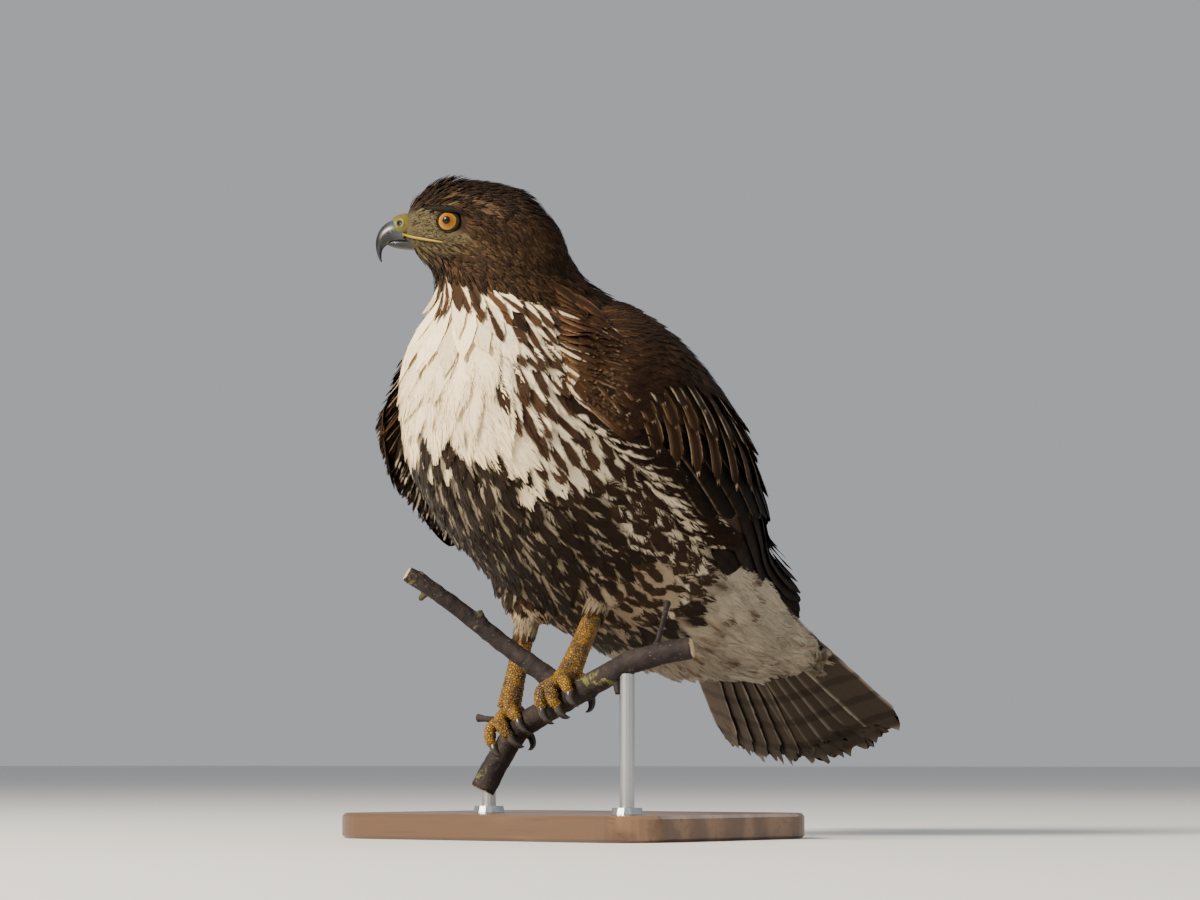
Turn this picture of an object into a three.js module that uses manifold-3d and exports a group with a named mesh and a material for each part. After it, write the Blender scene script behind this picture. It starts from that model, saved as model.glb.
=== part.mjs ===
// A perched red-tailed hawk at life size, gripping a cut length of forked branch on a plain display stand.
// Millimetres, +Z up. The bird faces -Y with its left side towards +X, and its head turned to its right.
// The origin is the middle of the stand's underside. Sizes on the bird start midway between its soles.
import * as THREE from "three";
import { mergeVertices } from "three/addons/utils/BufferGeometryUtils.js";
import Module from "manifold-3d";

const wasm = await Module();
wasm.setup();

// Driving sizes
const GAP = 0.3; // kept between touching pieces
const FEET_HEIGHT = 84; // soles above the floor
const BASE = { length: 250, width: 200, thick: 16, corner: 34, bevel: 2, centreY: 34 };
const HEAD_TURN = 48; // degrees to the bird's right
const HEAD_AT = [-17, -68, 296]; // on the head's midplane, level with the eyes
const TAIL = { root: [0, 133, 128], slope: 44, length: 236, spread: 17.4, feathers: 12, trough: 0.0029 };
const PAD = { start: 4, length: 146, thick: 4, half: 18 }; // the tail's root, under its coverts
const TAIL_VANES = { start: 70, half: 13.5, droop: 0.72, lean: 0.7, shorter: 0.04 };

const V = (x, y, z) => new THREE.Vector3(x, y, z);
const radians = THREE.MathUtils.degToRad;

// Catmull-Rom through evenly spaced rows of numbers, at t from 0 to 1
function smooth(rows, t) {
  const last = rows.length - 1;
  const at = Math.min(Math.max(t, 0), 1) * last;
  const i = Math.min(Math.floor(at), last - 1);
  const f = at - i;
  const row = (k) => rows[Math.min(Math.max(k, 0), last)];
  return rows[0].map((_, c) => {
    const [a, b, d, e] = [row(i - 1)[c], row(i)[c], row(i + 1)[c], row(i + 2)[c]];
    return b + 0.5 * f * (d - a + f * (2 * a - 5 * b + 4 * d - e + f * (3 * (b - d) + e - a)));
  });
}

// A solid from points and triangles, turned to face outwards
function solidOf(points, faces) {
  const geometry = new THREE.BufferGeometry().setFromPoints(points);
  geometry.setIndex(faces);
  return solidFrom(geometry);
}

function solidFrom(geometry) {
  const bare = geometry.clone();
  bare.deleteAttribute("normal");
  bare.deleteAttribute("uv");
  const merged = mergeVertices(bare, 1e-4);
  const triangles = new Uint32Array(merged.index.array);
  const vertProperties = new Float32Array(merged.attributes.position.array);
  const build = (triVerts) => new wasm.Manifold(new wasm.Mesh({ numProp: 3, vertProperties, triVerts }));
  const made = build(triangles);
  if (made.volume() >= 0) return made;
  return build(triangles.slice().reverse());
}

// A closed skin through rings with equal counts of points, each end closed on its ring's centre
function loft(rings) {
  const count = rings[0].length;
  const points = rings.flat();
  const faces = [];
  for (let r = 0; r + 1 < rings.length; r++)
    for (let i = 0; i < count; i++) {
      const a = r * count + i;
      const b = r * count + ((i + 1) % count);
      faces.push(a, b, b + count, a, b + count, a + count);
    }
  for (const [ring, first, turn] of [
    [rings[0], 0, true],
    [rings[rings.length - 1], (rings.length - 1) * count, false],
  ]) {
    const centre = ring.reduce((sum, p) => sum.add(p), V(0, 0, 0)).divideScalar(count);
    const middle = points.push(centre) - 1;
    for (let i = 0; i < count; i++) {
      const [a, b] = [first + i, first + ((i + 1) % count)];
      faces.push(...(turn ? [middle, b, a] : [middle, a, b]));
    }
  }
  return solidOf(points, faces);
}

// A rounded oval ring: half width along side, and up and down along rise
function oval(centre, side, rise, half, up, down, sides = 24, square = 1) {
  return Array.from({ length: sides }, (_, i) => {
    const turn = (2 * Math.PI * i) / sides;
    const [c, s] = [Math.cos(turn), Math.sin(turn)];
    const bend = (x) => Math.sign(x) * Math.abs(x) ** square;
    return centre
      .clone()
      .addScaledVector(side, half * bend(c))
      .addScaledVector(rise, (s > 0 ? up : down) * bend(s));
  });
}

// A thin plate between two grids of points, split into triangles alike on both faces
function plate(top, bottom) {
  const [rows, columns] = [top.length, top[0].length];
  const points = [...top.flat(), ...bottom.flat()];
  const under = rows * columns;
  const faces = [];
  for (let r = 0; r + 1 < rows; r++)
    for (let c = 0; c + 1 < columns; c++) {
      const a = r * columns + c;
      const [b, d, e] = [a + 1, a + columns, a + columns + 1];
      faces.push(a, b, e, a, e, d);
      faces.push(under + a, under + e, under + b, under + a, under + d, under + e);
    }
  const wall = (a, b) => faces.push(a, under + a, under + b, a, under + b, b);
  for (let c = 0; c + 1 < columns; c++) {
    wall(c, c + 1);
    wall((rows - 1) * columns + c + 1, (rows - 1) * columns + c);
  }
  for (let r = 0; r + 1 < rows; r++) {
    wall((r + 1) * columns, r * columns);
    wall(r * columns + columns - 1, (r + 1) * columns + columns - 1);
  }
  return solidOf(points, faces);
}

// A tapered round limb through points, with a radius for each
function tube(points, radii, sides = 10, steps = points.length * 2, grow = 0) {
  const curve = new THREE.CatmullRomCurve3(points, false, "centripetal");
  const rings = [];
  let side = V(0.31, 0.17, 0.93);
  for (let i = 0; i <= steps; i++) {
    const t = i / steps;
    const along = curve.getTangent(t);
    side.addScaledVector(along, -side.dot(along)).normalize();
    const [radius] = smooth(radii.map((r) => [r]), t);
    const rise = along.clone().cross(side);
    rings.push(oval(curve.getPoint(t), side, rise, radius + grow, radius + grow, radius + grow, sides));
  }
  return loft(rings);
}

const join = (pieces) => pieces.reduce((whole, piece) => whole.add(piece));
const cut = (piece, ...cutters) => cutters.reduce((rest, cutter) => rest.subtract(cutter), piece);

// Only the largest closed surface of a node is kept
function largest(piece) {
  return piece.decompose().reduce((a, b) => (a.volume() > b.volume() ? a : b));
}

// Head frame: forward towards the bill, across towards the bird's left eye, and up
const headTurn = radians(HEAD_TURN);
const FORWARD = V(-Math.sin(headTurn), -Math.cos(headTurn), 0);
const ACROSS = V(Math.cos(headTurn), -Math.sin(headTurn), 0);
const UP = V(0, 0, 1);
const inHead = (forward, across, up) =>
  V(...HEAD_AT).addScaledVector(FORWARD, forward).addScaledVector(ACROSS, across).addScaledVector(UP, up);

// Trunk from inside the skull to the ends of the tail coverts: centre x, back y and z, front y and z,
// half width, share of the head's turn, trough
const TRUNK = [
  [3, -14, 296, -82, 296, 30, 1, 0],
  [4, 0, 279, -85, 277, 36, 0.95, 0],
  [4, 13, 266, -85, 259, 44, 0.65, 0],
  [2, 32, 258, -86, 242, 56, 0.3, 0],
  [0, 52, 249, -92, 223, 67, 0.05, 0],
  [0, 80, 228, -95, 190, 79, 0, 0],
  [0, 108, 199, -84, 146, 85, 0, 0],
  [0, 131, 173, -50, 107, 85, 0, 0],
  [0, 151, 149, -5, 77, 80, 0, 0],
  [0, 171, 124, 44, 50, 74, 0, 0],
  [0, 193, 96, 102, 31, 66, 0, 0.001],
  [0, 217, 64, 164, 20, 61, 0, 0.002],
  [0, 241, 31, 231, 20, 59, 0, 0.0029],
];

function trunk(grow = 0) {
  const [steps, count, square] = [24, 24, 0.93];
  const rings = [];
  for (let i = 0; i <= steps; i++) {
    const [x, backY, backZ, frontY, frontZ, half, share, trough] = smooth(TRUNK, i / steps);
    const turn = headTurn * share;
    const side = V(Math.cos(turn), -Math.sin(turn), 0);
    const rise = V(0, backY - frontY, backZ - frontZ);
    const depth = rise.length() / 2 + grow;
    rise.normalize().applyAxisAngle(UP, -turn);
    const centre = V(x, (backY + frontY) / 2, (backZ + frontZ) / 2);
    const ring = oval(centre, side, rise, half + grow, depth, depth, count, square);
    for (const point of ring) point.addScaledVector(rise, trough * point.x ** 2);
    rings.push(ring);
  }
  return loft(rings);
}

// Skull and face: forward, top, bottom, half width
const HEAD = [
  [29, 9, -12, 8.4],
  [24, 17, -17.5, 12.4],
  [15, 24.5, -25, 18.4],
  [3, 29.3, -32, 25],
  [-11, 30, -38, 29.6],
  [-27, 28.4, -43, 33.4],
  [-43, 24, -46, 35.6],
  [-56, 13, -48, 34],
  [-66, 1.5, -48, 29],
  [-73, -14, -42, 19],
];

function skull() {
  const [steps, count, square] = [13, 20, 0.95];
  const rings = [];
  for (let i = 0; i <= steps; i++) {
    const [forward, top, bottom, half] = smooth(HEAD, i / steps);
    const middle = top * 0.25 + bottom * 0.2;
    const centre = inHead(forward, 0, middle);
    rings.push(oval(centre, ACROSS, UP, half, top - middle, middle - bottom, count, square));
  }
  return loft(rings);
}

// Bill: forward, up, droop in degrees, half depth, half width
const UPPER_BILL = [
  [29, -3.6, 0, 8, 7.4],
  [34.5, -3.8, 10, 7.7, 6.8],
  [39, -6, 36, 6.1, 5.3],
  [42.2, -9.8, 62, 4.1, 3.8],
  [43.8, -14.3, 84, 2.2, 2.3],
  [43.7, -18.6, 96, 1.2, 1.2],
  [42.6, -22.6, 104, 0.4, 0.4],
];
const CERE = [
  [21, -0.5, 0, 7.5, 8.5],
  [27, 0.2, 0, 7.8, 9],
  [31, -0.6, 6, 7.8, 8.4],
  [34.4, -1.6, 12, 6.9, 7.2],
];
const LOWER_BILL = [
  [20, -13, 0, 2.6, 8],
  [28, -12.8, 0, 2.6, 6.6],
  [34, -12.4, -4, 2.2, 4.8],
  [38.6, -12, -8, 1, 2.2],
];

function hooked(stations, grow = 0, sides = 12) {
  const steps = Math.round(stations.length * 1.2);
  const rings = [];
  for (let i = 0; i <= steps; i++) {
    const [forward, up, droop, depth, half] = smooth(stations, i / steps);
    const lean = radians(droop);
    const rise = FORWARD.clone().multiplyScalar(Math.sin(lean)).addScaledVector(UP, Math.cos(lean));
    rings.push(oval(inHead(forward, 0, up), ACROSS, rise, half + grow, depth + grow, depth + grow, sides));
  }
  return loft(rings);
}

const sides = { left: 1, right: -1 };

// Corner of the mouth, from the bill to under the eye: forward, across, up, thickness
const GAPE = [
  [29, 6, -5.4, 1.4],
  [24, 12, -8.4, 1.4],
  [15, 17.4, -10.6, 1.3],
  [5, 23, -13, 0.8],
];

function gapeLips(grow = 0) {
  return Object.values(sides).map((s) => {
    const points = GAPE.map(([forward, across, up]) => inHead(forward, s * across, up));
    return tube(points, GAPE.map((row) => row[3]), 6, 4, grow);
  });
}

const EYE = { radius: 9, across: 18.6 };
const LID = { radius: 6.8, thick: 1.6, ahead: 1.6, across: 24.6, forwards: 0.36 };

function eyeball(side, grow = 0) {
  const ball = new THREE.SphereGeometry(EYE.radius + grow, 12, 8);
  return solidFrom(ball.translate(...inHead(0, side * EYE.across, 0).toArray()));
}

function lidRing(side) {
  const ring = new THREE.TorusGeometry(LID.radius, LID.thick, 5, 12);
  ring.scale(1.08, 0.94, 1);
  const facing = ACROSS.clone().multiplyScalar(side).addScaledVector(FORWARD, LID.forwards).normalize();
  const flat = new THREE.Matrix4().makeBasis(facing.clone().cross(UP).negate(), UP, facing);
  ring.applyMatrix4(flat);
  return solidFrom(ring.translate(...inHead(LID.ahead, side * LID.across, 0).toArray()));
}

// Brow over each eye: forward, across, up, thickness
const BROW = [
  [21, 12, 10.5, 2],
  [11, 19.5, 9.8, 3.2],
  [2, 25.2, 8.4, 3.8],
  [-7, 28.2, 7.2, 3.4],
  [-18, 29, 6, 2],
];

function brow(side) {
  const points = BROW.map(([forward, across, up]) => inHead(forward, side * across, up));
  return tube(points, BROW.map((row) => row[3]), 7, 5);
}

const NOSTRIL = { radius: 1.5, tall: 1.15, at: [31.4, 8, 0.8] };

function nostril(side) {
  const [forward, across, up] = NOSTRIL.at;
  const hole = new THREE.SphereGeometry(NOSTRIL.radius, 10, 8).scale(1, 1, NOSTRIL.tall);
  return solidFrom(hole.translate(...inHead(forward, side * across, up).toArray()));
}

// Wing surface, drawn for the left one: its side and upper edge as x, y, z, from the wrist to the tip
const WING = [
  [83, -60, 212, 56, -40, 250],
  [104, 4, 211, 36, 28, 262],
  [104, 68, 178, 13, 91, 231],
  [85, 120, 139, 9, 141, 177],
  [56, 165, 104, 11, 183, 127],
  [31, 236, 71, 26, 234, 77],
];
// Lower edge of each wing: the flank feathers cover more of the left one
const WING_LOWER = {
  left: [
    [80, -60, 186],
    [98, -14, 152],
    [97, 42, 113],
    [83, 102, 91],
    [58, 156, 81],
    [31, 232, 66],
  ],
  right: [
    [80, -62, 172],
    [93, -24, 133],
    [95, 30, 102],
    [83, 98, 88],
    [58, 156, 81],
    [31, 232, 66],
  ],
};

function wingSheet(lower, u, v) {
  const [edge, s] = [smooth(lower, u), smooth(WING, u)];
  const [a, b, c] = [(1 - v) * (1 - 2 * v), 4 * v * (1 - v), v * (2 * v - 1)];
  return V(...[0, 1, 2].map((k) => a * edge[k] + b * s[k] + c * s[k + 3]));
}

function wingNormal(lower, u, v) {
  const step = 0.01;
  const along = wingSheet(lower, u + step, v).sub(wingSheet(lower, u - step, v));
  const over = wingSheet(lower, u, v + step).sub(wingSheet(lower, u, v - step));
  return along.cross(over).normalize();
}

// Body of the wing under its feathers: how deep it lies under the wing's surface, more at the wrist and at
// both edges, and its thickness from the wrist to the tip
const CORE = {
  end: 0.84,
  deep: 1.6,
  wristDeep: 20,
  wrist: 0.1,
  edgeDeep: 3,
  thick: [34, 34, 24, 12, 7, 5],
};

function wingCore(lower) {
  const [rows, columns] = [8, 5];
  const grid = (depth) =>
    Array.from({ length: rows + 1 }, (_, r) =>
      Array.from({ length: columns + 1 }, (_, c) => {
        const [u, v] = [(CORE.end * r) / rows + 0.001, c / columns];
        return wingSheet(lower, u, v).addScaledVector(wingNormal(lower, u, v), -depth(u, v));
      }),
    );
  const outer = (u, v) =>
    CORE.deep + CORE.wristDeep * Math.max(0, CORE.wrist - u) + CORE.edgeDeep * (2 * v - 1) ** 4;
  const inner = (u, v) => {
    const [thick] = smooth(CORE.thick.map((t) => [t]), u);
    return outer(u, v) + thick * (0.35 + 2.6 * v * (1 - v));
  };
  return plate(grid(outer), grid(inner));
}

// Shape of a vane: share of its length, share of its half width
const VANE = [
  [0, 0.6],
  [0.4, 0.96],
  [0.76, 1],
  [0.94, 0.72],
  [1, 0.3],
];
const VANE_THICK = 0.8;

// A feather vane along a path that gives its point, outward normal, sideways direction and half width
function vane(path, tilt) {
  const face = (away) =>
    VANE.map(([t, share]) => {
      const { point, out, over, half } = path(t);
      return [-1, 1].map((s) =>
        point
          .clone()
          .addScaledVector(over, half * share * s)
          .addScaledVector(out, away - tilt * s),
      );
    });
  return plate(face(VANE_THICK / 2), face(-VANE_THICK / 2));
}

// Wing feathers in tiers: how many, where roots and tips lie along the wing, where they lie across it,
// the height of roots and tips over the wing's surface, the least half width, and how each lies over the last
const TIERS = {
  primaries: {
    count: 6,
    root: [0.52, 0.5],
    tip: [1, 0.85],
    across: [0.1, 0.76],
    lift: [-7, 0],
    least: 8,
    stack: 1.2,
  },
  secondaries: {
    count: 6,
    root: [0.34, 0.38],
    tip: [0.66, 0.79],
    across: [0.07, 0.68],
    lift: [-5, 1.6],
    least: 7,
    stack: 0.3,
  },
  tertials: {
    count: 2,
    root: [0.37, 0.38],
    tip: [0.77, 0.71],
    across: [0.79, 0.91],
    lift: [-4, 5],
    least: 9,
    stack: 1,
  },
  greater_coverts: {
    count: 7,
    root: [0.28, 0.29],
    tip: [0.47, 0.54],
    across: [0.07, 0.88],
    lift: [-4.4, 2.8],
    least: 7,
    stack: 0.2,
  },
  median_coverts: {
    count: 6,
    root: [0.19, 0.2],
    tip: [0.36, 0.41],
    across: [0.08, 0.85],
    lift: [-4, 3.4],
    least: 7,
    stack: 0,
  },
};
const WIDENING = 0.68; // a vane's half width over the space between it and the next
const SHINGLE = 1.7; // how far one edge of a vane stands over its middle

function wingVanes(lower) {
  const mix = (pair, t) => pair[0] + (pair[1] - pair[0]) * t;
  return Object.values(TIERS).flatMap((tier) => {
    const space = (tier.across[1] - tier.across[0]) / (tier.count - 1);
    return Array.from({ length: tier.count }, (_, i) => {
      const t = i / (tier.count - 1);
      const [rootU, tipU, v] = [mix(tier.root, t), mix(tier.tip, t), mix(tier.across, t)];
      const path = (along) => {
        const u = rootU + (tipU - rootU) * along;
        const here = wingSheet(lower, u, v);
        const out = wingNormal(lower, u, v);
        const ahead = wingSheet(lower, u + 0.01, v).sub(wingSheet(lower, u - 0.01, v)).normalize();
        const half = WIDENING * here.distanceTo(wingSheet(lower, u, v + space));
        return {
          point: here.addScaledVector(out, mix(tier.lift, along) + tier.stack * i * along ** 2),
          out,
          over: ahead.cross(out).negate().normalize(),
          half: Math.max(half, tier.least),
        };
      };
      return vane(path, SHINGLE);
    });
  });
}

function wing(name, trunkCutter) {
  const lower = WING_LOWER[name];
  const feathered = join([wingCore(lower), ...wingVanes(lower)]).trimByPlane([1, 0, 0], 1);
  const placed = name === "right" ? feathered.mirror([1, 0, 0]) : feathered;
  return largest(cut(placed, trunkCutter, tailPad(GAP)));
}

// Tail frame: along towards the tips, and out from its upper face
const tailSlope = radians(TAIL.slope);
const TAIL_ALONG = V(0, Math.cos(tailSlope), -Math.sin(tailSlope));
const TAIL_OUT = V(0, Math.sin(tailSlope), Math.cos(tailSlope));
const onTail = (along, across, out) =>
  V(...TAIL.root)
    .addScaledVector(TAIL_ALONG, along)
    .add(V(across, 0, 0))
    .addScaledVector(TAIL_OUT, out + TAIL.trough * across ** 2);

function tailPad(grow = 0) {
  const [rows, columns] = [5, 6];
  const spread = Math.tan(radians(TAIL.spread));
  const grid = (away) =>
    Array.from({ length: rows + 1 }, (_, r) =>
      Array.from({ length: columns + 1 }, (_, c) => {
        const along = PAD.start - grow + ((PAD.length - PAD.start + 2 * grow) * r) / rows;
        const half = PAD.half + spread * along + grow;
        return onTail(along, half * ((2 * c) / columns - 1), away * (PAD.thick + grow));
      }),
    );
  return plate(grid(1), grid(-1));
}

function tailVanes() {
  const middle = (TAIL.feathers - 1) / 2;
  return Array.from({ length: TAIL.feathers }, (_, i) => {
    const rank = i - middle; // from the right outer feather to the left one
    const share = rank / middle;
    const turn = radians(TAIL.spread * 0.94 * share);
    const out = 2 - TAIL_VANES.droop * Math.abs(rank + 0.2); // the middle pair lies on top
    const reach = TAIL.length * (1 - TAIL_VANES.shorter * (share * share + share));
    const path = (t) => {
      const along = TAIL_VANES.start + (reach - TAIL_VANES.start) * t;
      const across = 6 * share + along * Math.tan(turn);
      const point = onTail(along, across, out);
      const over = onTail(along, across + 1, out).sub(point).normalize();
      const ahead = onTail(along + 1, across + Math.tan(turn), out).sub(point).normalize();
      return { point, out: over.clone().cross(ahead).normalize(), over, half: TAIL_VANES.half };
    };
    return vane(path, -TAIL_VANES.lean * Math.sign(rank));
  });
}

const tail = () => largest(join([tailPad(), ...tailVanes()]));

// Legs: the sole's place, and the lower end of the thigh feathers
const LEGS = {
  left: { sole: [33, -16, 12], knee: [33, 20, 66], hip: [40, 36, 112] },
  right: { sole: [-33, 8, -8], knee: [-32, 28, 56], hip: [-40, 38, 108] },
};

function thigh(leg, grow = 0) {
  const [knee, hip] = [V(...leg.knee), V(...leg.hip)];
  const way = hip.clone().sub(knee);
  const points = [-0.12, 0.12, 0.45, 0.8, 1.2].map((t) => knee.clone().addScaledVector(way, t));
  return tube(points, [8, 15, 24, 27, 20], 12, 6, grow);
}

function tarsus(leg, grow = 0) {
  const [sole, knee] = [V(...leg.sole), V(...leg.knee)];
  const way = knee.clone().sub(sole);
  const points = [0.1, 0.4, 0.75, 1.15].map((t) => sole.clone().addScaledVector(way, t));
  return tube(points, [7.6, 6.6, 6.3, 6.8], 10, 5, grow);
}

// Perch: the limb from its lower cut end past the fork to the upper one, and the arm to the bird's right
const LIMB = {
  points: [
    [-48, 2, -54],
    [-43, 7, -40],
    [-37, 11, -28],
    [-26, 12, -15],
    [2, 2, -5],
    [33, -14, 3],
    [62, -19, 14],
    [82, -19, 22.5],
    [104, -15, 29],
    [124, -6, 33],
  ],
  radii: [8, 7.8, 7.6, 7.8, 7.6, 7.4, 7.1, 7, 6.9, 6.8],
};
const ARM = {
  points: [
    [36, -15, 3],
    [22, -14, 14],
    [10, -19, 24],
    [-4, -26, 35],
    [-18, -37, 49],
    [-34, -55, 67],
    [-48, -72, 81],
  ],
  radii: [6.8, 6.5, 6, 5.6, 5.4, 5.1, 5],
};

// Spur twigs and buds: points and radii
const TWIGS = [
  { points: [[-22, 10, -11], [-34, 10, -10], [-58, 9, -8]], radii: [3.4, 2.2, 2.6] },
  { points: [[100, -13, 30], [100, -6, 44], [97, 5, 62]], radii: [2.6, 1.8, 2.4] },
  { points: [[-13, -33, 44], [-15, -37, 52], [-16, -40, 58]], radii: [3.4, 2.6, 2] },
  { points: [[-38, -60, 72], [-44, -60, 68], [-48, -59, 65]], radii: [3.2, 2.4, 1.6] },
  { points: [[76, -19, 18], [77, -20, 11], [79, -22, 5]], radii: [3.2, 2.4, 1.8] },
];

const spots = (rows) => rows.map((row) => V(...row));

function branch(grow = 0) {
  const limb = tube(spots(LIMB.points), LIMB.radii, 10, 14, grow);
  const arm = tube(spots(ARM.points), ARM.radii, 9, 8, grow);
  const twigs = TWIGS.map(({ points, radii }) => tube(spots(points), radii, 5, 2, grow));
  return join([limb, arm, ...twigs]);
}

const limbCurve = new THREE.CatmullRomCurve3(spots(LIMB.points), false, "centripetal");

// The limb's own frame nearest to a point: centre, direction along it and its radius
function limbNear(point) {
  const steps = 200;
  let best = { gap: Infinity };
  for (let i = 0; i <= steps; i++) {
    const t = i / steps;
    const centre = limbCurve.getPoint(t);
    const gap = centre.distanceTo(point);
    const [radius] = smooth(LIMB.radii.map((r) => [r]), t);
    if (gap < best.gap) best = { gap, centre, along: limbCurve.getTangent(t), radius };
  }
  return best;
}

// Toes: where each leaves the sole along the limb, how far it fans, how far it and its claw reach round the
// limb as turns in radians, its thickness and which way round it goes
const TOES = [
  { name: "hind", start: 1, fan: 4, reach: 1.5, radius: 4.4, way: -1, claw: 1.15 },
  { name: "inner", start: -4, fan: -11, reach: 1.75, radius: 4.3, way: 1, claw: 1.05 },
  { name: "middle", start: 0, fan: -1, reach: 2.1, radius: 4.2, way: 1, claw: 0.9 },
  { name: "outer", start: 4, fan: 11, reach: 1.8, radius: 3.8, way: 1, claw: 0.85 },
];

const TOE_ARCH = 2.6; // how far a toe's middle stands off the bark
const CLAW_ARCH = 3;

// A point round the limb: distance along it, turn from its top towards the bird's front, height over the bark
function roundLimb(frame, along, turn, height) {
  const up = UP.clone().addScaledVector(frame.along, -frame.along.z).normalize();
  const front = up.clone().cross(frame.along).normalize();
  if (front.y > 0) front.negate();
  return frame.centre
    .clone()
    .addScaledVector(frame.along, along)
    .addScaledVector(up, (frame.radius + height) * Math.cos(turn))
    .addScaledVector(front, (frame.radius + height) * Math.sin(turn));
}

function toe(frame, mirror, spec, grow = 0) {
  const steps = 4;
  const points = [];
  for (let i = 0; i <= steps; i++) {
    const t = i / steps;
    const along = mirror * (spec.start + spec.fan * Math.sin((t * Math.PI) / 2));
    const arch = TOE_ARCH * Math.sin(t * Math.PI);
    const turn = spec.way * (0.1 + (spec.reach - 0.1) * t);
    points.push(roundLimb(frame, along, turn, spec.radius * 0.8 + arch));
  }
  const radii = [1.15, 1, 0.95, 0.72].map((share) => share * spec.radius);
  return tube(points, radii, 7, 5, grow);
}

function claw(frame, mirror, spec) {
  const points = [0, 0.3, 0.6, 0.82, 1].map((t) => {
    const turn = spec.way * (spec.reach - 0.08 + (0.08 + spec.claw) * t);
    const height = spec.radius * 0.8 + CLAW_ARCH * Math.sin(t * 2.3);
    return roundLimb(frame, mirror * (spec.start + spec.fan), turn, height);
  });
  return tube(points, [2.9, 2.6, 2, 1.2, 0.35], 6, 5);
}

function foot(leg, frame, mirror, grow = 0) {
  const palm = tube(
    [roundLimb(frame, 0, -0.7, 3), roundLimb(frame, 0, 0, 4.6), roundLimb(frame, 0, 0.7, 3)],
    [5.6, 7.8, 5.6],
    8,
    3,
    grow,
  );
  return join([palm, ...TOES.map((spec) => toe(frame, mirror, spec, grow))]);
}

// Stand: a plate and two rods
function standBase() {
  const { length, width, thick, corner, bevel } = BASE;
  const outline = new THREE.Shape();
  const [x, y] = [length / 2 - corner, width / 2 - corner];
  outline.absarc(x, y, corner, 0, Math.PI / 2);
  outline.absarc(-x, y, corner, Math.PI / 2, Math.PI);
  outline.absarc(-x, -y, corner, Math.PI, 1.5 * Math.PI);
  outline.absarc(x, -y, corner, 1.5 * Math.PI, 2 * Math.PI);
  const slab = new THREE.ExtrudeGeometry(outline, {
    depth: thick - 2 * bevel,
    bevelThickness: bevel,
    bevelSize: bevel,
    bevelOffset: -bevel,
    bevelSegments: 1,
    curveSegments: 5,
  });
  return solidFrom(slab.translate(0, BASE.centreY, bevel - FEET_HEIGHT));
}

// Rods: where they stand and how long they may reach before the limb
const RODS = { left: [84, -19, 100], right: [-45, 5, 30] };
const ROD_RADIUS = 4.5;
const COLLAR = { top: 9, bottom: 10, thick: 4 };

function rod([x, y, length]) {
  const bottom = -FEET_HEIGHT + BASE.thick + GAP;
  const post = new THREE.CylinderGeometry(ROD_RADIUS, ROD_RADIUS, length, 14).rotateX(Math.PI / 2);
  const { top, bottom: base, thick } = COLLAR;
  const collar = new THREE.CylinderGeometry(top, base, thick, 14).rotateX(Math.PI / 2);
  return join([
    solidFrom(post.translate(x, y, bottom + length / 2)),
    solidFrom(collar.translate(x, y, bottom + thick / 2)),
  ]);
}

function finish(color, roughness, metalness = 0) {
  return new THREE.MeshStandardMaterial({ color, roughness, metalness });
}

const FINISHES = {
  brown: finish(0x4a3524, 0.8),
  breast: finish(0xd8c8ab, 0.85),
  flight: finish(0x2e221a, 0.7),
  horn: finish(0x24272c, 0.3),
  yellow: finish(0xc9962e, 0.5),
  eye: finish(0xd98a1c, 0.1),
  bark: finish(0x5c463c, 0.8),
  wood: finish(0x6b4a30, 0.5),
  steel: finish(0x8a8c90, 0.35, 0.9),
};

const hawk = new THREE.Group();
hawk.position.set(0, -BASE.centreY, FEET_HEIGHT);

function place(name, piece, material) {
  const { vertProperties, triVerts, numProp, numVert } = piece.getMesh();
  const flat = new Float32Array(numVert * 3);
  for (let i = 0; i < numVert; i++) flat.set(vertProperties.subarray(i * numProp, i * numProp + 3), i * 3);
  const geometry = new THREE.BufferGeometry();
  geometry.setAttribute("position", new THREE.BufferAttribute(flat, 3));
  geometry.setIndex(new THREE.BufferAttribute(triVerts, 1));
  const mesh = new THREE.Mesh(geometry, material);
  mesh.name = name;
  hawk.add(mesh);
}

// The cuts that part the neck from the torso and the head from the neck: the way up, and a point on each
const CUTS = {
  neck: { normal: V(0, -0.34, 0.94).normalize(), point: V(0, -22, 250) },
  head: { normal: V(0.1, 0.12, 1).normalize(), point: V(3, -44, 268) },
};

function splitAt(piece, { normal, point }) {
  const offset = normal.dot(point);
  return [
    piece.trimByPlane(normal.toArray(), offset + GAP / 2),
    piece.trimByPlane(normal.clone().negate().toArray(), -offset + GAP / 2),
  ];
}

// The flesh as one body, parted by thin cuts
const tailSolid = tail();
const perch = branch();
const perchCutter = branch(GAP);
const whole = join([trunk(), skull(), brow(1), brow(-1), lidRing(1), lidRing(-1)]);
const eyes = { left: eyeball(1), right: eyeball(-1) };
const billCutters = [hooked(CERE, GAP), hooked(LOWER_BILL, GAP), ...gapeLips(GAP)];
const flesh = cut(whole, tailPad(GAP), eyeball(1, GAP), eyeball(-1, GAP), ...billCutters);
const [above, torso] = splitAt(flesh, CUTS.neck);
const [head, neckPiece] = splitAt(above, CUTS.head);

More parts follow.
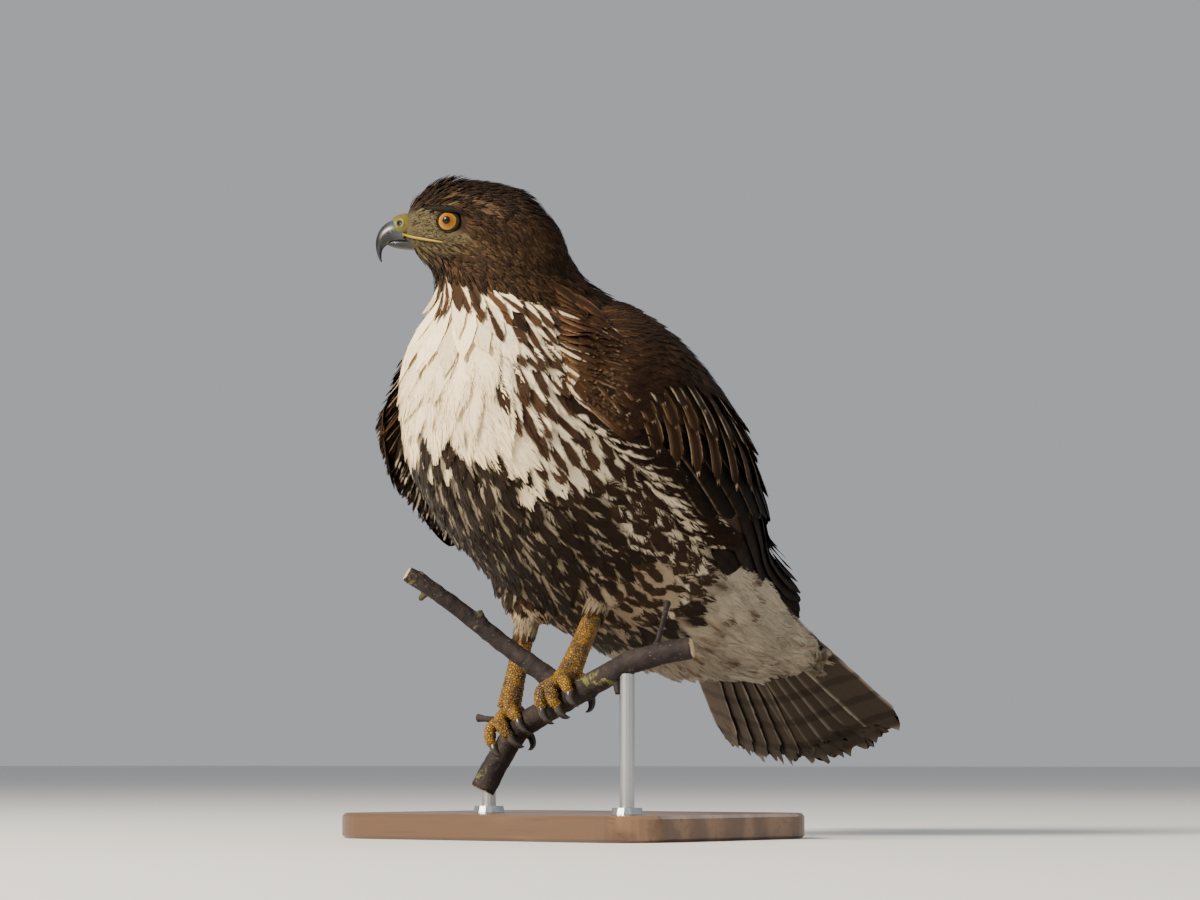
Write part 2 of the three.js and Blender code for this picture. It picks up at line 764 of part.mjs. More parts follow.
place("torso", largest(torso), FINISHES.breast);
place("neck", largest(neckPiece), FINISHES.brown);
place("head", largest(head), FINISHES.brown);
for (const [name, eye] of Object.entries(eyes)) place("eye_" + name, eye, FINISHES.eye);
const upperBill = cut(hooked(UPPER_BILL), hooked(CERE, GAP), hooked(LOWER_BILL, GAP), ...gapeLips(GAP));
place("bill_upper", largest(upperBill), FINISHES.horn);
place("bill_lower", largest(cut(hooked(LOWER_BILL), hooked(CERE, GAP), ...gapeLips(GAP))), FINISHES.horn);
place("cere", largest(cut(join([hooked(CERE), ...gapeLips()]), nostril(1), nostril(-1))), FINISHES.yellow);
place("tail", tailSolid, FINISHES.flight);

const trunkCutter = trunk(GAP);
for (const name of Object.keys(sides)) place("wing_" + name, wing(name, trunkCutter), FINISHES.flight);

for (const [name, mirror] of Object.entries(sides)) {
  const leg = LEGS[name];
  const frame = limbNear(V(...leg.sole));
  place("thigh_" + name, largest(cut(thigh(leg), trunkCutter)), FINISHES.breast);
  const shank = cut(tarsus(leg), thigh(leg, GAP), foot(leg, frame, mirror, GAP), perchCutter);
  place("tarsus_" + name, largest(shank), FINISHES.yellow);
  place("foot_" + name, largest(cut(foot(leg, frame, mirror), perchCutter)), FINISHES.yellow);
  for (const spec of TOES) {
    const horn = largest(cut(claw(frame, mirror, spec), toe(frame, mirror, spec, GAP), perchCutter));
    place(["claw", name, spec.name].join("_"), horn, FINISHES.horn);
  }
}

place("perch", perch, FINISHES.bark);
place("stand_base", standBase(), FINISHES.wood);
for (const [name, at] of Object.entries(RODS)) {
  place("stand_rod_" + name, largest(cut(rod(at), perchCutter)), FINISHES.steel);
}

export default hawk;
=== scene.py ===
"""A life-size perched hawk on a display stand, dressed over the frame of its solids."""

import math
from typing import NamedTuple

import bmesh
import bpy
import numpy as np
from bpy.props import FloatProperty, FloatVectorProperty, PointerProperty
from mathutils import Matrix, Vector, noise
from mathutils.bvhtree import BVHTree
from mathutils.kdtree import KDTree


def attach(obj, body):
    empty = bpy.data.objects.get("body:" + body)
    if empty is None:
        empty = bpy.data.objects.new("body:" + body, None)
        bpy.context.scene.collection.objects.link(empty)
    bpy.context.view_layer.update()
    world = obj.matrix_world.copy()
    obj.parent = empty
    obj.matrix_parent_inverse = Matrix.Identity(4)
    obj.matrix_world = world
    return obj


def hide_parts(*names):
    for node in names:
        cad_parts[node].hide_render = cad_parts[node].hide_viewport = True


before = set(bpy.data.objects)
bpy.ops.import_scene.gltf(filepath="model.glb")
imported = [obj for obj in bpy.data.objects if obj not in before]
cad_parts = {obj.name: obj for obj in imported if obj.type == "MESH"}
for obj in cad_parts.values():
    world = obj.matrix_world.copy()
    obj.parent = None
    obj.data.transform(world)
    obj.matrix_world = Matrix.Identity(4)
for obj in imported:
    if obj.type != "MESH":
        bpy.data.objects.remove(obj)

bl_info = {
    "name": "Perched Hawk",
    "version": (1, 0, 0),
    "blender": (4, 5, 0),
    "location": "View3D > Sidebar > Hawk",
    "description": "Builds the plumage, bare parts, perch and stage of a life-size perched hawk",
    "category": "Object",
}

# Sizes are millimetres in the bird's own frame: it faces -Y, its left is +X, and 0 is between its feet
MM = 0.001
FRAME_SHIFT = np.array([0.0, -34.0, 84.0])
SEED = 7

# Head frame: towards the bill, towards the bird's left eye, and up
HEAD_TURN = math.radians(48)
HEAD_AT = np.array([-17.0, -68.0, 296.0])
FORWARD = np.array([-math.sin(HEAD_TURN), -math.cos(HEAD_TURN), 0.0])
ACROSS = np.array([math.cos(HEAD_TURN), -math.sin(HEAD_TURN), 0.0])
UP = np.array([0.0, 0.0, 1.0])
SIDES = {"left": 1.0, "right": -1.0}


# Curves, rings and frames

def placed(points):
    """Points of the bird's frame in millimetres, as metres in the frame of the solids."""
    return (np.asarray(points, float) + FRAME_SHIFT) * MM


def unplaced(points):
    """Metres in the frame of the solids, as millimetres in the bird's frame."""
    return np.asarray(points, float) / MM - FRAME_SHIFT


def in_head(forward, across, up):
    """A point of the head's own frame in the bird's frame."""
    return HEAD_AT + FORWARD * forward + ACROSS * across + UP * up


def smooth(rows, t):
    """A soft curve through evenly spaced rows of numbers, at each t from 0 to 1."""
    rows = np.asarray(rows, float)
    last = len(rows) - 1
    at = np.clip(np.atleast_1d(np.asarray(t, float)), 0, 1) * last
    i = np.minimum(at.astype(int), last - 1)
    f = (at - i)[:, None]
    a, b, d, e = (rows[np.clip(i + k, 0, last)] for k in (-1, 0, 1, 2))
    return b + 0.5 * f * (d - a + f * (2 * a - 5 * b + 4 * d - e + f * (3 * (b - d) + e - a)))


def step(low, high, x):
    """0 below low, 1 above high, and a soft rise between them."""
    t = np.clip((np.asarray(x, float) - low) / (high - low), 0, 1)
    return t * t * (3 - 2 * t)


def unit(vectors):
    """Vectors at length 1."""
    vectors = np.asarray(vectors, float)
    return vectors / np.maximum(np.linalg.norm(vectors, axis=-1, keepdims=True), 1e-9)


def dot(a, b):
    """Dot products along the last axis, kept as a column."""
    return (np.asarray(a) * np.asarray(b)).sum(-1, keepdims=True)


def tube_rings(points, radii, count, steps, shape=None):
    """Rings of a round limb through points, with shape(t, turn) as an added share of its radius."""
    t = np.linspace(0, 1, steps + 1)
    centres = smooth(points, t)
    radius = smooth([[r] for r in radii], t)[:, 0]
    along = unit(np.gradient(centres, axis=0))
    side = np.array([0.31, 0.17, 0.93])
    turn = np.linspace(0, 2 * math.pi, count, endpoint=False)
    rings = []
    for i in range(steps + 1):
        side = unit(side - along[i] * (side @ along[i]))
        rise = np.cross(along[i], side)
        share = np.ones(count) if shape is None else 1 + shape(t[i], turn)
        spokes = np.outer(np.cos(turn), side) + np.outer(np.sin(turn), rise)
        rings.append(centres[i] + spokes * (radius[i] * share)[:, None])
    return rings


# Meshes and objects

def add_sweep(bm, rings):
    """Adds a closed skin through rings of equal counts to a bmesh, from a grid wrapped round them."""
    count, steps = len(rings[0]), len(rings) - 1
    made = bmesh.ops.create_grid(bm, x_segments=count, y_segments=steps, size=1.0)["verts"]
    for vert in made:
        around = round((vert.co.x + 1) / 2 * count) % count
        ring = round((vert.co.y + 1) / 2 * steps)
        vert.co = rings[ring][around]
    bmesh.ops.remove_doubles(bm, verts=made, dist=1e-5)
    left = [vert for vert in made if vert.is_valid]
    rims = [e for e in {e for v in left for e in v.link_edges} if e.is_boundary]
    bmesh.ops.holes_fill(bm, edges=rims, sides=0)
    faces = list({f for v in left for f in v.link_faces})
    bmesh.ops.recalc_face_normals(bm, faces=faces)
    return left


def finish_piece(bm, name, material, replaces=()):
    """Turns a bmesh in the bird's frame into a finished piece that rides on the frame."""
    for vert in bm.verts:
        vert.co = placed(vert.co)
    mesh = bpy.data.meshes.new(name)
    bm.to_mesh(mesh)
    bm.free()
    return dress(mesh, name, material, replaces)


def linked(name, data):
    """A new object of this data, in the scene."""
    made = bpy.data.objects.new(name, data)
    bpy.context.scene.collection.objects.link(made)
    return made


def dress(mesh, name, material, replaces=()):
    """Makes an object of a mesh, gives it its finish and sets it on the frame."""
    piece = linked(name, mesh)
    mesh.materials.append(material)
    mesh.shade_smooth()
    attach(piece, "root")
    if replaces:
        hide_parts(*replaces)
    return piece


def keep_colour(mesh, name, values):
    """Keeps a colour of four numbers on each point of a mesh."""
    made = mesh.attributes.new(name, "FLOAT_COLOR", "POINT")
    made.data.foreach_set("color", values.astype(np.float32).ravel())


def array_mesh(name, points, quads, layers, colours):
    """A joined mesh from arrays, with UV maps and colours by name for each of its points."""
    mesh = bpy.data.meshes.new(name)
    mesh.vertices.add(len(points))
    mesh.vertices.foreach_set("co", placed(points).astype(np.float32).ravel())
    mesh.loops.add(quads.size)
    mesh.loops.foreach_set("vertex_index", quads.astype(np.int32).ravel())
    mesh.polygons.add(len(quads))
    mesh.polygons.foreach_set("loop_start", np.arange(0, quads.size, 4, dtype=np.int32))
    mesh.update(calc_edges=True)
    for layer, pairs in layers.items():
        made = mesh.uv_layers.new(name=layer)
        made.data.foreach_set("uv", pairs[quads.ravel()].astype(np.float32).ravel())
    for layer, values in colours.items():
        keep_colour(mesh, layer, values)
    mesh.validate()
    return mesh


def evaluated(piece):
    """The mesh of an object with its modifiers applied; the object is removed."""
    graph = bpy.context.evaluated_depsgraph_get()
    mesh = bpy.data.meshes.new_from_object(piece.evaluated_get(graph))
    old = piece.data
    bpy.data.objects.remove(piece)
    bpy.data.meshes.remove(old)
    return mesh


def remeshed(bm, voxel):
    """A bmesh in metres made into one even skin, with quads about a voxel wide."""
    mesh = bpy.data.meshes.new("rough")
    bm.to_mesh(mesh)
    bm.free()
    rough = linked("rough", mesh)
    skin = rough.modifiers.new("one skin", "REMESH")
    skin.mode = "VOXEL"
    skin.voxel_size = voxel
    return evaluated(rough)


def mesh_points(mesh):
    """The points of a mesh as an array."""
    points = np.empty(len(mesh.vertices) * 3, np.float32)
    mesh.vertices.foreach_get("co", points)
    return points.reshape(-1, 3).astype(float)


def mesh_normals(mesh):
    """The normals at the points of a mesh as an array."""
    normals = np.empty(len(mesh.vertices) * 3, np.float32)
    mesh.vertex_normals.foreach_get("vector", normals)
    return normals.reshape(-1, 3).astype(float)


def set_points(mesh, points):
    """Moves the points of a mesh to places in the bird's frame."""
    mesh.vertices.foreach_set("co", placed(points).astype(np.float32).ravel())
    mesh.update()


def relaxed(mesh, points, rounds):
    """Points of a mesh drawn halfway to the middle of their neighbours, in rounds."""
    edges = np.empty(len(mesh.edges) * 2, np.int32)
    mesh.edges.foreach_get("vertices", edges)
    a, b = edges.reshape(-1, 2).T
    count = np.bincount(a, minlength=len(points)) + np.bincount(b, minlength=len(points))
    for _ in range(rounds):
        total = np.zeros_like(points)
        for axis in range(3):
            total[:, axis] += np.bincount(a, points[b, axis], len(points))
            total[:, axis] += np.bincount(b, points[a, axis], len(points))
        points = points + 0.5 * (total / count[:, None] - points)
    return points


def kd_tree(points):
    """A tree that finds the nearest of these points."""
    tree = KDTree(len(points))
    for i, point in enumerate(points):
        tree.insert(point, i)
    tree.balance()
    return tree


# Shader maths

def maths(operation):
    """A method of a wire that adds one Math node."""
    return lambda wire, *others: wire.math(operation, *others)


class Wire:
    """A shader socket, or a number, that adds Math and Vector Math nodes as it is worked with."""

    def __init__(self, sheet, socket):
        self.sheet = sheet
        self.socket = socket

    def math(self, operation, *others):
        """Another value from this one and others."""
        values = dict(enumerate((self, *others)))
        return self.sheet.node("ShaderNodeMath", {"operation": operation}, values)

    def vector(self, operation, *others, out="Vector"):
        """Another vector from this one and others."""
        values = dict(enumerate((self, *others)))
        return self.sheet.node("ShaderNodeVectorMath", {"operation": operation}, values, out)

    __add__ = __radd__ = maths("ADD")
    __sub__ = maths("SUBTRACT")
    __mul__ = __rmul__ = maths("MULTIPLY")
    __truediv__ = maths("DIVIDE")
    __pow__ = maths("POWER")
    __abs__ = maths("ABSOLUTE")
    sin = maths("SINE")
    least = maths("MINIMUM")
    most = maths("MAXIMUM")

    def __rsub__(self, other):
        return Wire(self.sheet, other).math("SUBTRACT", self)

    def rise(self, low, high):
        """0 below low, 1 above high, and a soft rise between; low and high may be values too."""
        settings = {"interpolation_type": "SMOOTHSTEP"}
        return self.sheet.node("ShaderNodeMapRange", settings, {0: self, 1: low, 2: high}, "Result")

    def parts(self):
        """The three numbers of a vector or colour."""
        return [self.sheet.node("ShaderNodeSeparateXYZ", {}, {0: self}, axis) for axis in "XYZ"]


class Finish:
    """A material in the making: its nodes are added by node and joined by wires."""

    def __init__(self, name):
        self.material = bpy.data.materials.new(name)
        self.material.use_nodes = True
        self.tree = self.material.node_tree
        self.tree.nodes.clear()

    def node(self, kind, settings=None, inputs=None, out=0):
        """Adds a node with its settings and inputs, and gives one of its outputs."""
        made = self.tree.nodes.new(kind)
        for key, value in (settings or {}).items():
            setattr(made, key, value)
        for key, value in (inputs or {}).items():
            self.plug(made.inputs[key], value)
        return Wire(self, made.outputs[out])

    def plug(self, socket, value):
        """Gives a socket a wire, a number or a colour."""
        if isinstance(value, Wire) and isinstance(value.socket, bpy.types.NodeSocket):
            self.tree.links.new(value.socket, socket)
            return
        plain = value.socket if isinstance(value, Wire) else value
        if socket.type == "RGBA":
            plain = (*plain[:3], 1.0)
        socket.default_value = plain

    def here(self):
        """The place on the piece, in metres."""
        return self.node("ShaderNodeTexCoord", {}, {}, "Object")

    def map(self, name):
        """The two numbers of a UV map."""
        return self.node("ShaderNodeUVMap", {"uv_map": name}).parts()[:2]

    def colour_of(self, name):
        """A colour kept on the points of the piece."""
        return self.node("ShaderNodeAttribute", {"attribute_name": name}, {}, "Color")

    def fourth_of(self, name):
        """The fourth number of a colour kept on the points of the piece."""
        return self.node("ShaderNodeAttribute", {"attribute_name": name}, {}, "Alpha")

    def point(self, x, y, z):
        """A vector from three values."""
        return self.node("ShaderNodeCombineXYZ", {}, {0: x, 1: y, 2: z})

    def scaled(self, vector, x, y, z):
        """A vector stretched along its axes."""
        return vector.vector("MULTIPLY", (x, y, z))

    def noise(self, vector, scale, detail=3.0, rough=0.5, warp=0.0):
        """Soft random patches, from 0 to 1."""
        inputs = {"Vector": vector, "Scale": scale, "Detail": detail, "Roughness": rough, "Distortion": warp}
        return self.node("ShaderNodeTexNoise", {}, inputs, "Fac")

    def cells(self, vector, scale, feature="F1"):
        """Distances in a pattern of cells."""
        inputs = {"Vector": vector, "Scale": scale}
        return self.node("ShaderNodeTexVoronoi", {"feature": feature}, inputs, "Distance")

    def mix(self, share, first, second):
        """Two colours mixed by a share."""
        return self.node("ShaderNodeMix", {"data_type": "RGBA"}, {0: share, 6: first, 7: second}, 2)

    def shade(self, colour, share):
        """A colour made lighter or darker by a share that varies."""
        return self.node("ShaderNodeVectorMath", {"operation": "SCALE"}, {0: colour, "Scale": share})

    def bump(self, height, strength, distance):
        """A normal from a height, with the distance in metres."""
        return self.node("ShaderNodeBump", {}, {"Height": height, "Strength": strength, "Distance": distance})

    def surface(self, colour, rough, normal=None, gloss=0.5, more=None):
        """Ends the material in one shader; more holds its other inputs by name."""
        inputs = {"Base Color": colour, "Roughness": rough, "Specular IOR Level": gloss, **(more or {})}
        if normal is not None:
            inputs["Normal"] = normal
        shader = self.node("ShaderNodeBsdfPrincipled", {}, inputs, "BSDF")
        output = self.tree.nodes.new("ShaderNodeOutputMaterial")
        self.plug(output.inputs["Surface"], shader)
        return self.material


# Where each kind of feather grows

# Line through the body from the bill to the ends of the undertail coverts
SPINE = np.array(
    [
        *(in_head(*at) for at in ((34, 0, -4), (10, 0, -4), (-20, 0, -8), (-38, 0, -26))),
        *((4, -32, 252), (0, -20, 228), (0, 0, 195), (0, 25, 160), (0, 55, 128)),
        *((0, 90, 100), (0, 130, 80), (0, 180, 58), (0, 235, 36)),
    ]
)
SPINE_LENGTH = 457.0
SPINE_SOFT = 26.0
COAT_TRIES = 120000
HEAD_END = 92.0  # along the spine, where the head passes into the neck
ROUND_SHARE = 0.92  # of the unwrap, that one turn round the body takes
EYE_ACROSS = 18.6
THIGHS = {
    "left": (np.array([33.0, 20, 66]), np.array([40.0, 36, 112])),
    "right": (np.array([-32.0, 28, 56]), np.array([-40.0, 38, 108])),
}

# Kinds of feather: length, half width, depth of the coat, space between roots, ground and ink colours,
# half width of the ink, where along the vane it starts, how many have it, paleness of the edge, looseness,
# and notches in the edges of the ink, where there are any. Wing and tail feathers take their sizes elsewhere
KINDS = {
    "mantle": (30, 7.6, 5, 6.4, (0.072, 0.034, 0.015), (0.026, 0.012, 0.006), 0.7, 0.1, 1.0, 0.3, 0.45),
    "neck": (19, 2.5, 4.0, 3.1, (0.082, 0.04, 0.017), (0.028, 0.014, 0.007), 0.6, 0.15, 1.0, 0.45, 0.6),
    "crown": (11, 1.45, 2.2, 2.0, (0.034, 0.019, 0.01), (0.01, 0.006, 0.004), 0.66, 0.1, 1.0, 0.26, 0.5),
    "cheek": (10.5, 1.3, 1.9, 1.75, (0.037, 0.02, 0.009), (0.021, 0.011, 0.006), 0.5, 0.2, 0.95, 0.34, 0.6),
    "eyeline": (10, 1.2, 1.9, 1.65, (0.046, 0.023, 0.011), (0.016, 0.009, 0.005), 0.6, 0.1, 0.95, 0.2, 0.5),
    "brow": (10, 1.1, 1.9, 1.6, (0.082, 0.051, 0.028), (0.05, 0.027, 0.013), 0.42, 0.2, 0.8, 0.3, 0.6),
    "buff": (11, 1.1, 1.9, 1.6, (0.078, 0.048, 0.025), (0.042, 0.023, 0.011), 0.5, 0.2, 0.9, 0.3, 0.7),
    "malar": (12, 1.4, 2.4, 1.8, (0.052, 0.028, 0.014), (0.02, 0.011, 0.006), 0.55, 0.15, 0.95, 0.35, 0.7),
    "chin": (12, 1.4, 2.6, 1.6, (0.075, 0.055, 0.033), (0.016, 0.01, 0.007), 0.6, 0.1, 0.8, 0.1, 1.0),
    "lore": (5, 0.75, 0.8, 1.15, (0.108, 0.088, 0.046), (0.038, 0.029, 0.017), 0.45, 0.1, 0.4, 0.1, 0.9),
    "gorget": (26, 4.6, 5.2, 5.2, (0.86, 0.71, 0.465), (0.054, 0.026, 0.012), 0.66, 0.1, 0.88, 0.0, 0.8),
    "breast": (44, 9.4, 6, 7.4, (0.95, 0.785, 0.51), (0.11, 0.05, 0.02), 0.2, 0.5, 0.03, 0.0, 0.8),
    "side": (34, 6.8, 6, 6.8, (0.9, 0.76, 0.53), (0.044, 0.022, 0.011), 0.64, 0.2, 0.96, 0.0, 0.8),
    # The belly's ground is a dark grey-brown, not cream, and its ink near black: its real dark band, darkened
    # further as painted shade on the underside
    "belly": (33, 6.6, 6, 6.6, (0.3, 0.245, 0.168), (0.018, 0.01, 0.005), 1.0, 0.22, 1.0, 0.0, 0.8),
    "flank": (38, 9.4, 6, 8.6, (0.66, 0.555, 0.4), (0.032, 0.016, 0.008), 0.94, 0.1, 1.0, 0.0, 0.8, 0.4),
    # The thighs' ground is darkened as painted shade on their front; the feathers over the shanks take it too
    "thigh": (24, 6.0, 4.6, 5.0, (0.4, 0.312, 0.202), (0.04, 0.021, 0.01), 0.74, 0.3, 0.85, 0.0, 0.8),
    "vent": (40, 7.6, 7, 6.6, (0.4, 0.34, 0.25), (0.15, 0.095, 0.055), 0.34, 0.5, 0.25, 0.0, 1.0),
    "shoulder": (0, 0, 0, 0, (0.072, 0.034, 0.015), (0.028, 0.013, 0.007), 0.75, -0.2, 1.0, 0.25, 0.8),
    # Primaries and secondaries are near black: partly their own dark brown, partly painted shade on the
    # wing's lower part
    "primary": (0, 0, 0, 0, (0.017, 0.011, 0.008), (0.007, 0.005, 0.004), 0.5, 0.1, 1, 0.05, 0.16),
    "secondary": (0, 0, 0, 0, (0.012, 0.008, 0.005), (0.005, 0.004, 0.003), 0.5, 0.1, 1, 0.2, 0.2),
    "greater": (0, 0, 0, 0, (0.098, 0.05, 0.023), (0.024, 0.012, 0.006), 0.66, -0.1, 1, 0.85, 0.3),
    "median": (0, 0, 0, 0, (0.112, 0.058, 0.026), (0.028, 0.014, 0.007), 0.66, -0.1, 1, 0.85, 0.4),
    "lesser": (0, 0, 0, 0, (0.066, 0.032, 0.014), (0.026, 0.013, 0.007), 0.6, 0.1, 1, 0.28, 0.35),
    # The tail's ground is darkened as painted shade, for a tail lying in shadow
    "tail": (0, 0, 0, 0, (0.066, 0.048, 0.034), (0.022, 0.016, 0.012), 0.0, 0.5, 1, 0.5, 0.5),
}


# Columns of the feather facts, as KINDS gives them
LENGTH, HALF, DEPTH, SPACE = range(4)
GROUND, INK = slice(4, 7), slice(7, 10)
BLOT, START, INKED, PALE, LOOSE, NOTCH = range(10, 16)
SIZES, TINTS, LOOKS = slice(0, 4), slice(4, 10), slice(4, 16)


def kind_row(name):
    """The numbers of a kind of feather in one row of feather facts."""
    row = np.hstack([np.atleast_1d(value) for value in KINDS[name]])
    return np.pad(row, (0, LOOKS.stop - len(row)))


def along_spine(points):
    """For points of the bird: place along the spine, way of the spine, turn from the back's midline."""
    t = np.linspace(0, 1, 140)
    centres = smooth(SPINE, t)
    ways = unit(np.gradient(centres, axis=0))
    reach = np.concatenate([[0], np.cumsum(np.linalg.norm(np.diff(centres, axis=0), axis=1))])
    reach *= SPINE_LENGTH / reach[-1]
    bow = step(60, 150, reach)[:, None]
    back = unit(UP * (1 - bow) + np.array([0.0, 0.85, 0.52]) * bow)
    back = unit(back - ways * dot(back, ways))
    gap = ((points[:, None, :] - centres[None]) ** 2).sum(-1)
    pull = np.exp(-(gap - gap.min(1, keepdims=True)) / (2 * SPINE_SOFT**2))
    pull /= pull.sum(1, keepdims=True)
    out = points - pull @ centres
    back = unit(pull @ back)
    way = unit(pull @ ways)
    left = np.cross(way, back)
    turn = np.arctan2((out * left).sum(1), (out * back).sum(1))
    return pull @ reach, way, turn


def near_segment(points, ends):
    """Distance of points from the line between two ends."""
    a, b = ends
    t = np.clip((points - a) @ (b - a) / ((b - a) @ (b - a)), -0.3, 1)
    return np.linalg.norm(points - a - t[:, None] * (b - a), axis=1)


def patchy(points, size, seed=0):
    """Soft patches between -1 and 1, about size millimetres across."""
    shift = Vector((seed * 17.3, 5.1, 9.7))
    return np.array([noise.noise(Vector(p) / size + shift) for p in points])


def spot(ahead, high, centre, radii, lean=0.0):
    """A soft oval patch on the side of the head; lean tips its rear end down."""
    along, over = ahead - centre[0], high - centre[1]
    over = over - lean * along
    return 1 - step(0.45, 1.5, np.hypot(along / radii[0], over / radii[1]))


THROAT_LOW = 264.0  # z of the lower edge of the dark throat
BELLY_TOP = (162, 188)  # z where the dark belly passes into the white breast
BREAST_SIDE = (1.35, 1.6)  # turn from the breast's midline where the breast passes into the back


def plumage(points, draw=None):
    """
    The feather facts at points of the bird, with the lie of the feathers, their reach and turn.

    With a draw from 0 to 1 for each point, colours come from one kind each and so dither where zones meet.
    """
    reach, way, turn = along_spine(points)
    x, y, z = points.T
    low = math.pi - np.abs(turn)  # round the body: 0 on the breast's midline, pi on the back's
    rel = points - HEAD_AT
    ahead, high = rel @ FORWARD, rel @ UP
    head = 1 - step(HEAD_END - 14, HEAD_END + 6, reach)
    ragged = patchy(points, 26, 1)
    near, far = x > 0, x <= 0
    # Height of the throat's dark edge over the white, lower on the near side, with a streaked band below it
    edge = THROAT_LOW - 30 * step(0.35, 1.25, low * near) - 6 * step(0.2, 0.9, low * far) + 5 * ragged
    breast = (1 - step(-4, 7, z - edge)) * (1 - step(*BREAST_SIDE, low + 0.12 * ragged))
    band = 12 + 26 * step(0.25, 0.9, low * near) + 10 * step(0.7, 1.2, low * far)
    gorget = step(-1.0, -0.2, (z - edge) / band) * (1 - step(-4, 5, z - edge))
    gorget = gorget * (1 - step(*BREAST_SIDE, low))
    sides = step(0.12, 0.56, low * near + 0.2 * ragged) + step(0.8, 1.15, low * far + 0.2 * ragged)
    under = 1 - step(1.6, 1.9, low)
    lap = 24 * step(0.12, 0.4, low * near) * (1 - step(0.75, 1.1, low))
    belly = under * (1 - step(*BELLY_TOP, z + 12 * ragged + lap))
    legs = -np.minimum(*(near_segment(points, THIGHS[s]) for s in SIDES))
    layers = [
        ("neck", 1 - step(126, 158, reach)),
        ("crown", head),
        ("cheek", head * (1 - step(0, 9, high))),
        ("malar", head * (1 - step(-26, -17, high + 0.2 * ahead))),
        ("malar", head * spot(ahead, high, (-16, -28), (22, 9))),
        ("chin", head * step(2, 12, ahead) * (1 - step(-16, -11, high))),
        ("eyeline", head * spot(ahead, high, (-21, -1), (15, 5.5), 0.15)),
        ("brow", 0.8 * head * spot(ahead, high, (-9, 12.0), (15, 2.8), 0.25)),
        # Dark feathers over the eye: partly their own colour, partly painted shade of the brow's shadow on
        # the eye's top
        ("eyeline", head * spot(ahead, high, (1, 8.6), (13, 2.6), 0.1)),
        ("buff", 0.8 * head * spot(ahead, high, (-15, -13), (15, 5.0), 0.1)),
        ("lore", head * step(-3, 5, ahead) * step(-17, -12, high) * (1 - step(6, 10, high))),
        ("lore", head * spot(ahead, high, (1, -9.5), (8, 3.6))),
        ("chin", head * spot(ahead, high, (31, 9), (4, 5))),
        ("breast", breast),
        ("side", breast * np.clip(sides, 0, 1)),
        ("gorget", gorget),
        ("belly", belly),
        ("flank", belly * step(0.6, 1.0, low)),
        ("vent", under * step(52, 84, y) * (1 - step(104, 128, z))),
        ("thigh", step(-36, -27, legs) * (1 - step(98, 112, z))),
    ]
    facts = np.tile(kind_row("mantle"), (len(points), 1))
    for name, share in layers:
        facts[:, SIZES] += share[:, None] * (kind_row(name) - facts)[:, SIZES]
        own = share if draw is None else (share > draw).astype(float)
        facts[:, LOOKS] += own[:, None] * (kind_row(name) - facts)[:, LOOKS]
    fan = 0.6 * np.clip(breast + belly, 0, 1)[:, None] * np.array([1.0, 0, 0]) * (x / 80)[:, None]
    return facts, unit(way + fan), reach, turn


# Patches of the crown whose feathers stand off: how far, and the patch's centre and radii
RUFFLED = [(3.0, (12, 26), (12, 9)), (1.8, (-42, 24), (9, 9))]


def ruffle(points):
    """How far the crown's feathers stand off at points of the bird."""
    rel = points - HEAD_AT
    ahead, high = rel @ FORWARD, rel @ UP
    return sum(far * spot(ahead, high, centre, radii) for far, centre, radii in RUFFLED)


def coat_place(reach, turn):
    """Where points of the bird lie on an unwrap of its own shape: round the body and along it."""
    around = 0.03 + ROUND_SHARE * (turn / (2 * math.pi) + 0.5)
    return np.stack([around, 0.02 + 0.95 * reach / SPINE_LENGTH], axis=1)


# The skin

FLESH = ("torso", "neck", "head", "thigh_left", "thigh_right")
SEAM = 0.0004  # metres that each flesh solid is swollen by before they are joined
SKIN_VOXEL = 0.0022


def flesh_bmesh():
    """The flesh solids in one bmesh, swollen enough to close the gaps between them."""
    whole = bmesh.new()
    for name in FLESH:
        part = bmesh.new()
        part.from_mesh(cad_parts[name].data)
        bmesh.ops.remove_doubles(part, verts=part.verts, dist=1e-6)
        part.normal_update()
        for vert in part.verts:
            vert.co += vert.normal * SEAM
        swollen = bpy.data.meshes.new("swollen")
        part.to_mesh(swollen)
        part.free()
        whole.from_mesh(swollen)
        bpy.data.meshes.remove(swollen)
    return whole


def colours_of(facts, tones):
    """Ground and ink colours and the marks of feathers, four numbers each."""
    ground = np.column_stack([facts[:, GROUND], facts[:, NOTCH]])
    ink = np.column_stack([facts[:, INK], facts[:, LOOSE]])
    marks = np.column_stack([facts[:, BLOT], facts[:, START], facts[:, PALE], tones])
    return {"ground": ground, "ink": ink, "mark": marks}


def keep_uv(mesh, name, pairs):
    """Writes a UV map from a pair a point; faces over the seam are kept on one side of it."""
    loops = np.empty(len(mesh.loops), np.int32)
    mesh.loops.foreach_get("vertex_index", loops)
    starts = np.empty(len(mesh.polygons), np.int32)
    mesh.polygons.foreach_get("loop_start", starts)
    totals = np.diff(np.append(starts, len(loops)))
    values = pairs[loops].copy()
    low = np.minimum.reduceat(values[:, 0], starts)
    high = np.maximum.reduceat(values[:, 0], starts)
    across = np.repeat(high - low > 0.5, totals)
    values[across & (values[:, 0] < 0.5), 0] += ROUND_SHARE
    mesh.uv_layers.new(name=name).data.foreach_set("uv", values.astype(np.float32).ravel())


def skin_under_feathers(mesh):
    """Draws the joined flesh in by the depth of the coat, and gives it the coat's colours."""
    points = relaxed(mesh, unplaced(mesh_points(mesh)), 4)
    set_points(mesh, points)
    facts, _, reach, turn = plumage(points)
    points = points - mesh_normals(mesh) * facts[:, DEPTH, None]
    points = relaxed(mesh, points, 3)
    set_points(mesh, points)
    rng = np.random.default_rng(SEED)
    for layer, values in colours_of(facts, rng.random(len(facts))).items():
        keep_colour(mesh, layer, values)
    keep_uv(mesh, "OFBake", coat_place(reach, turn))


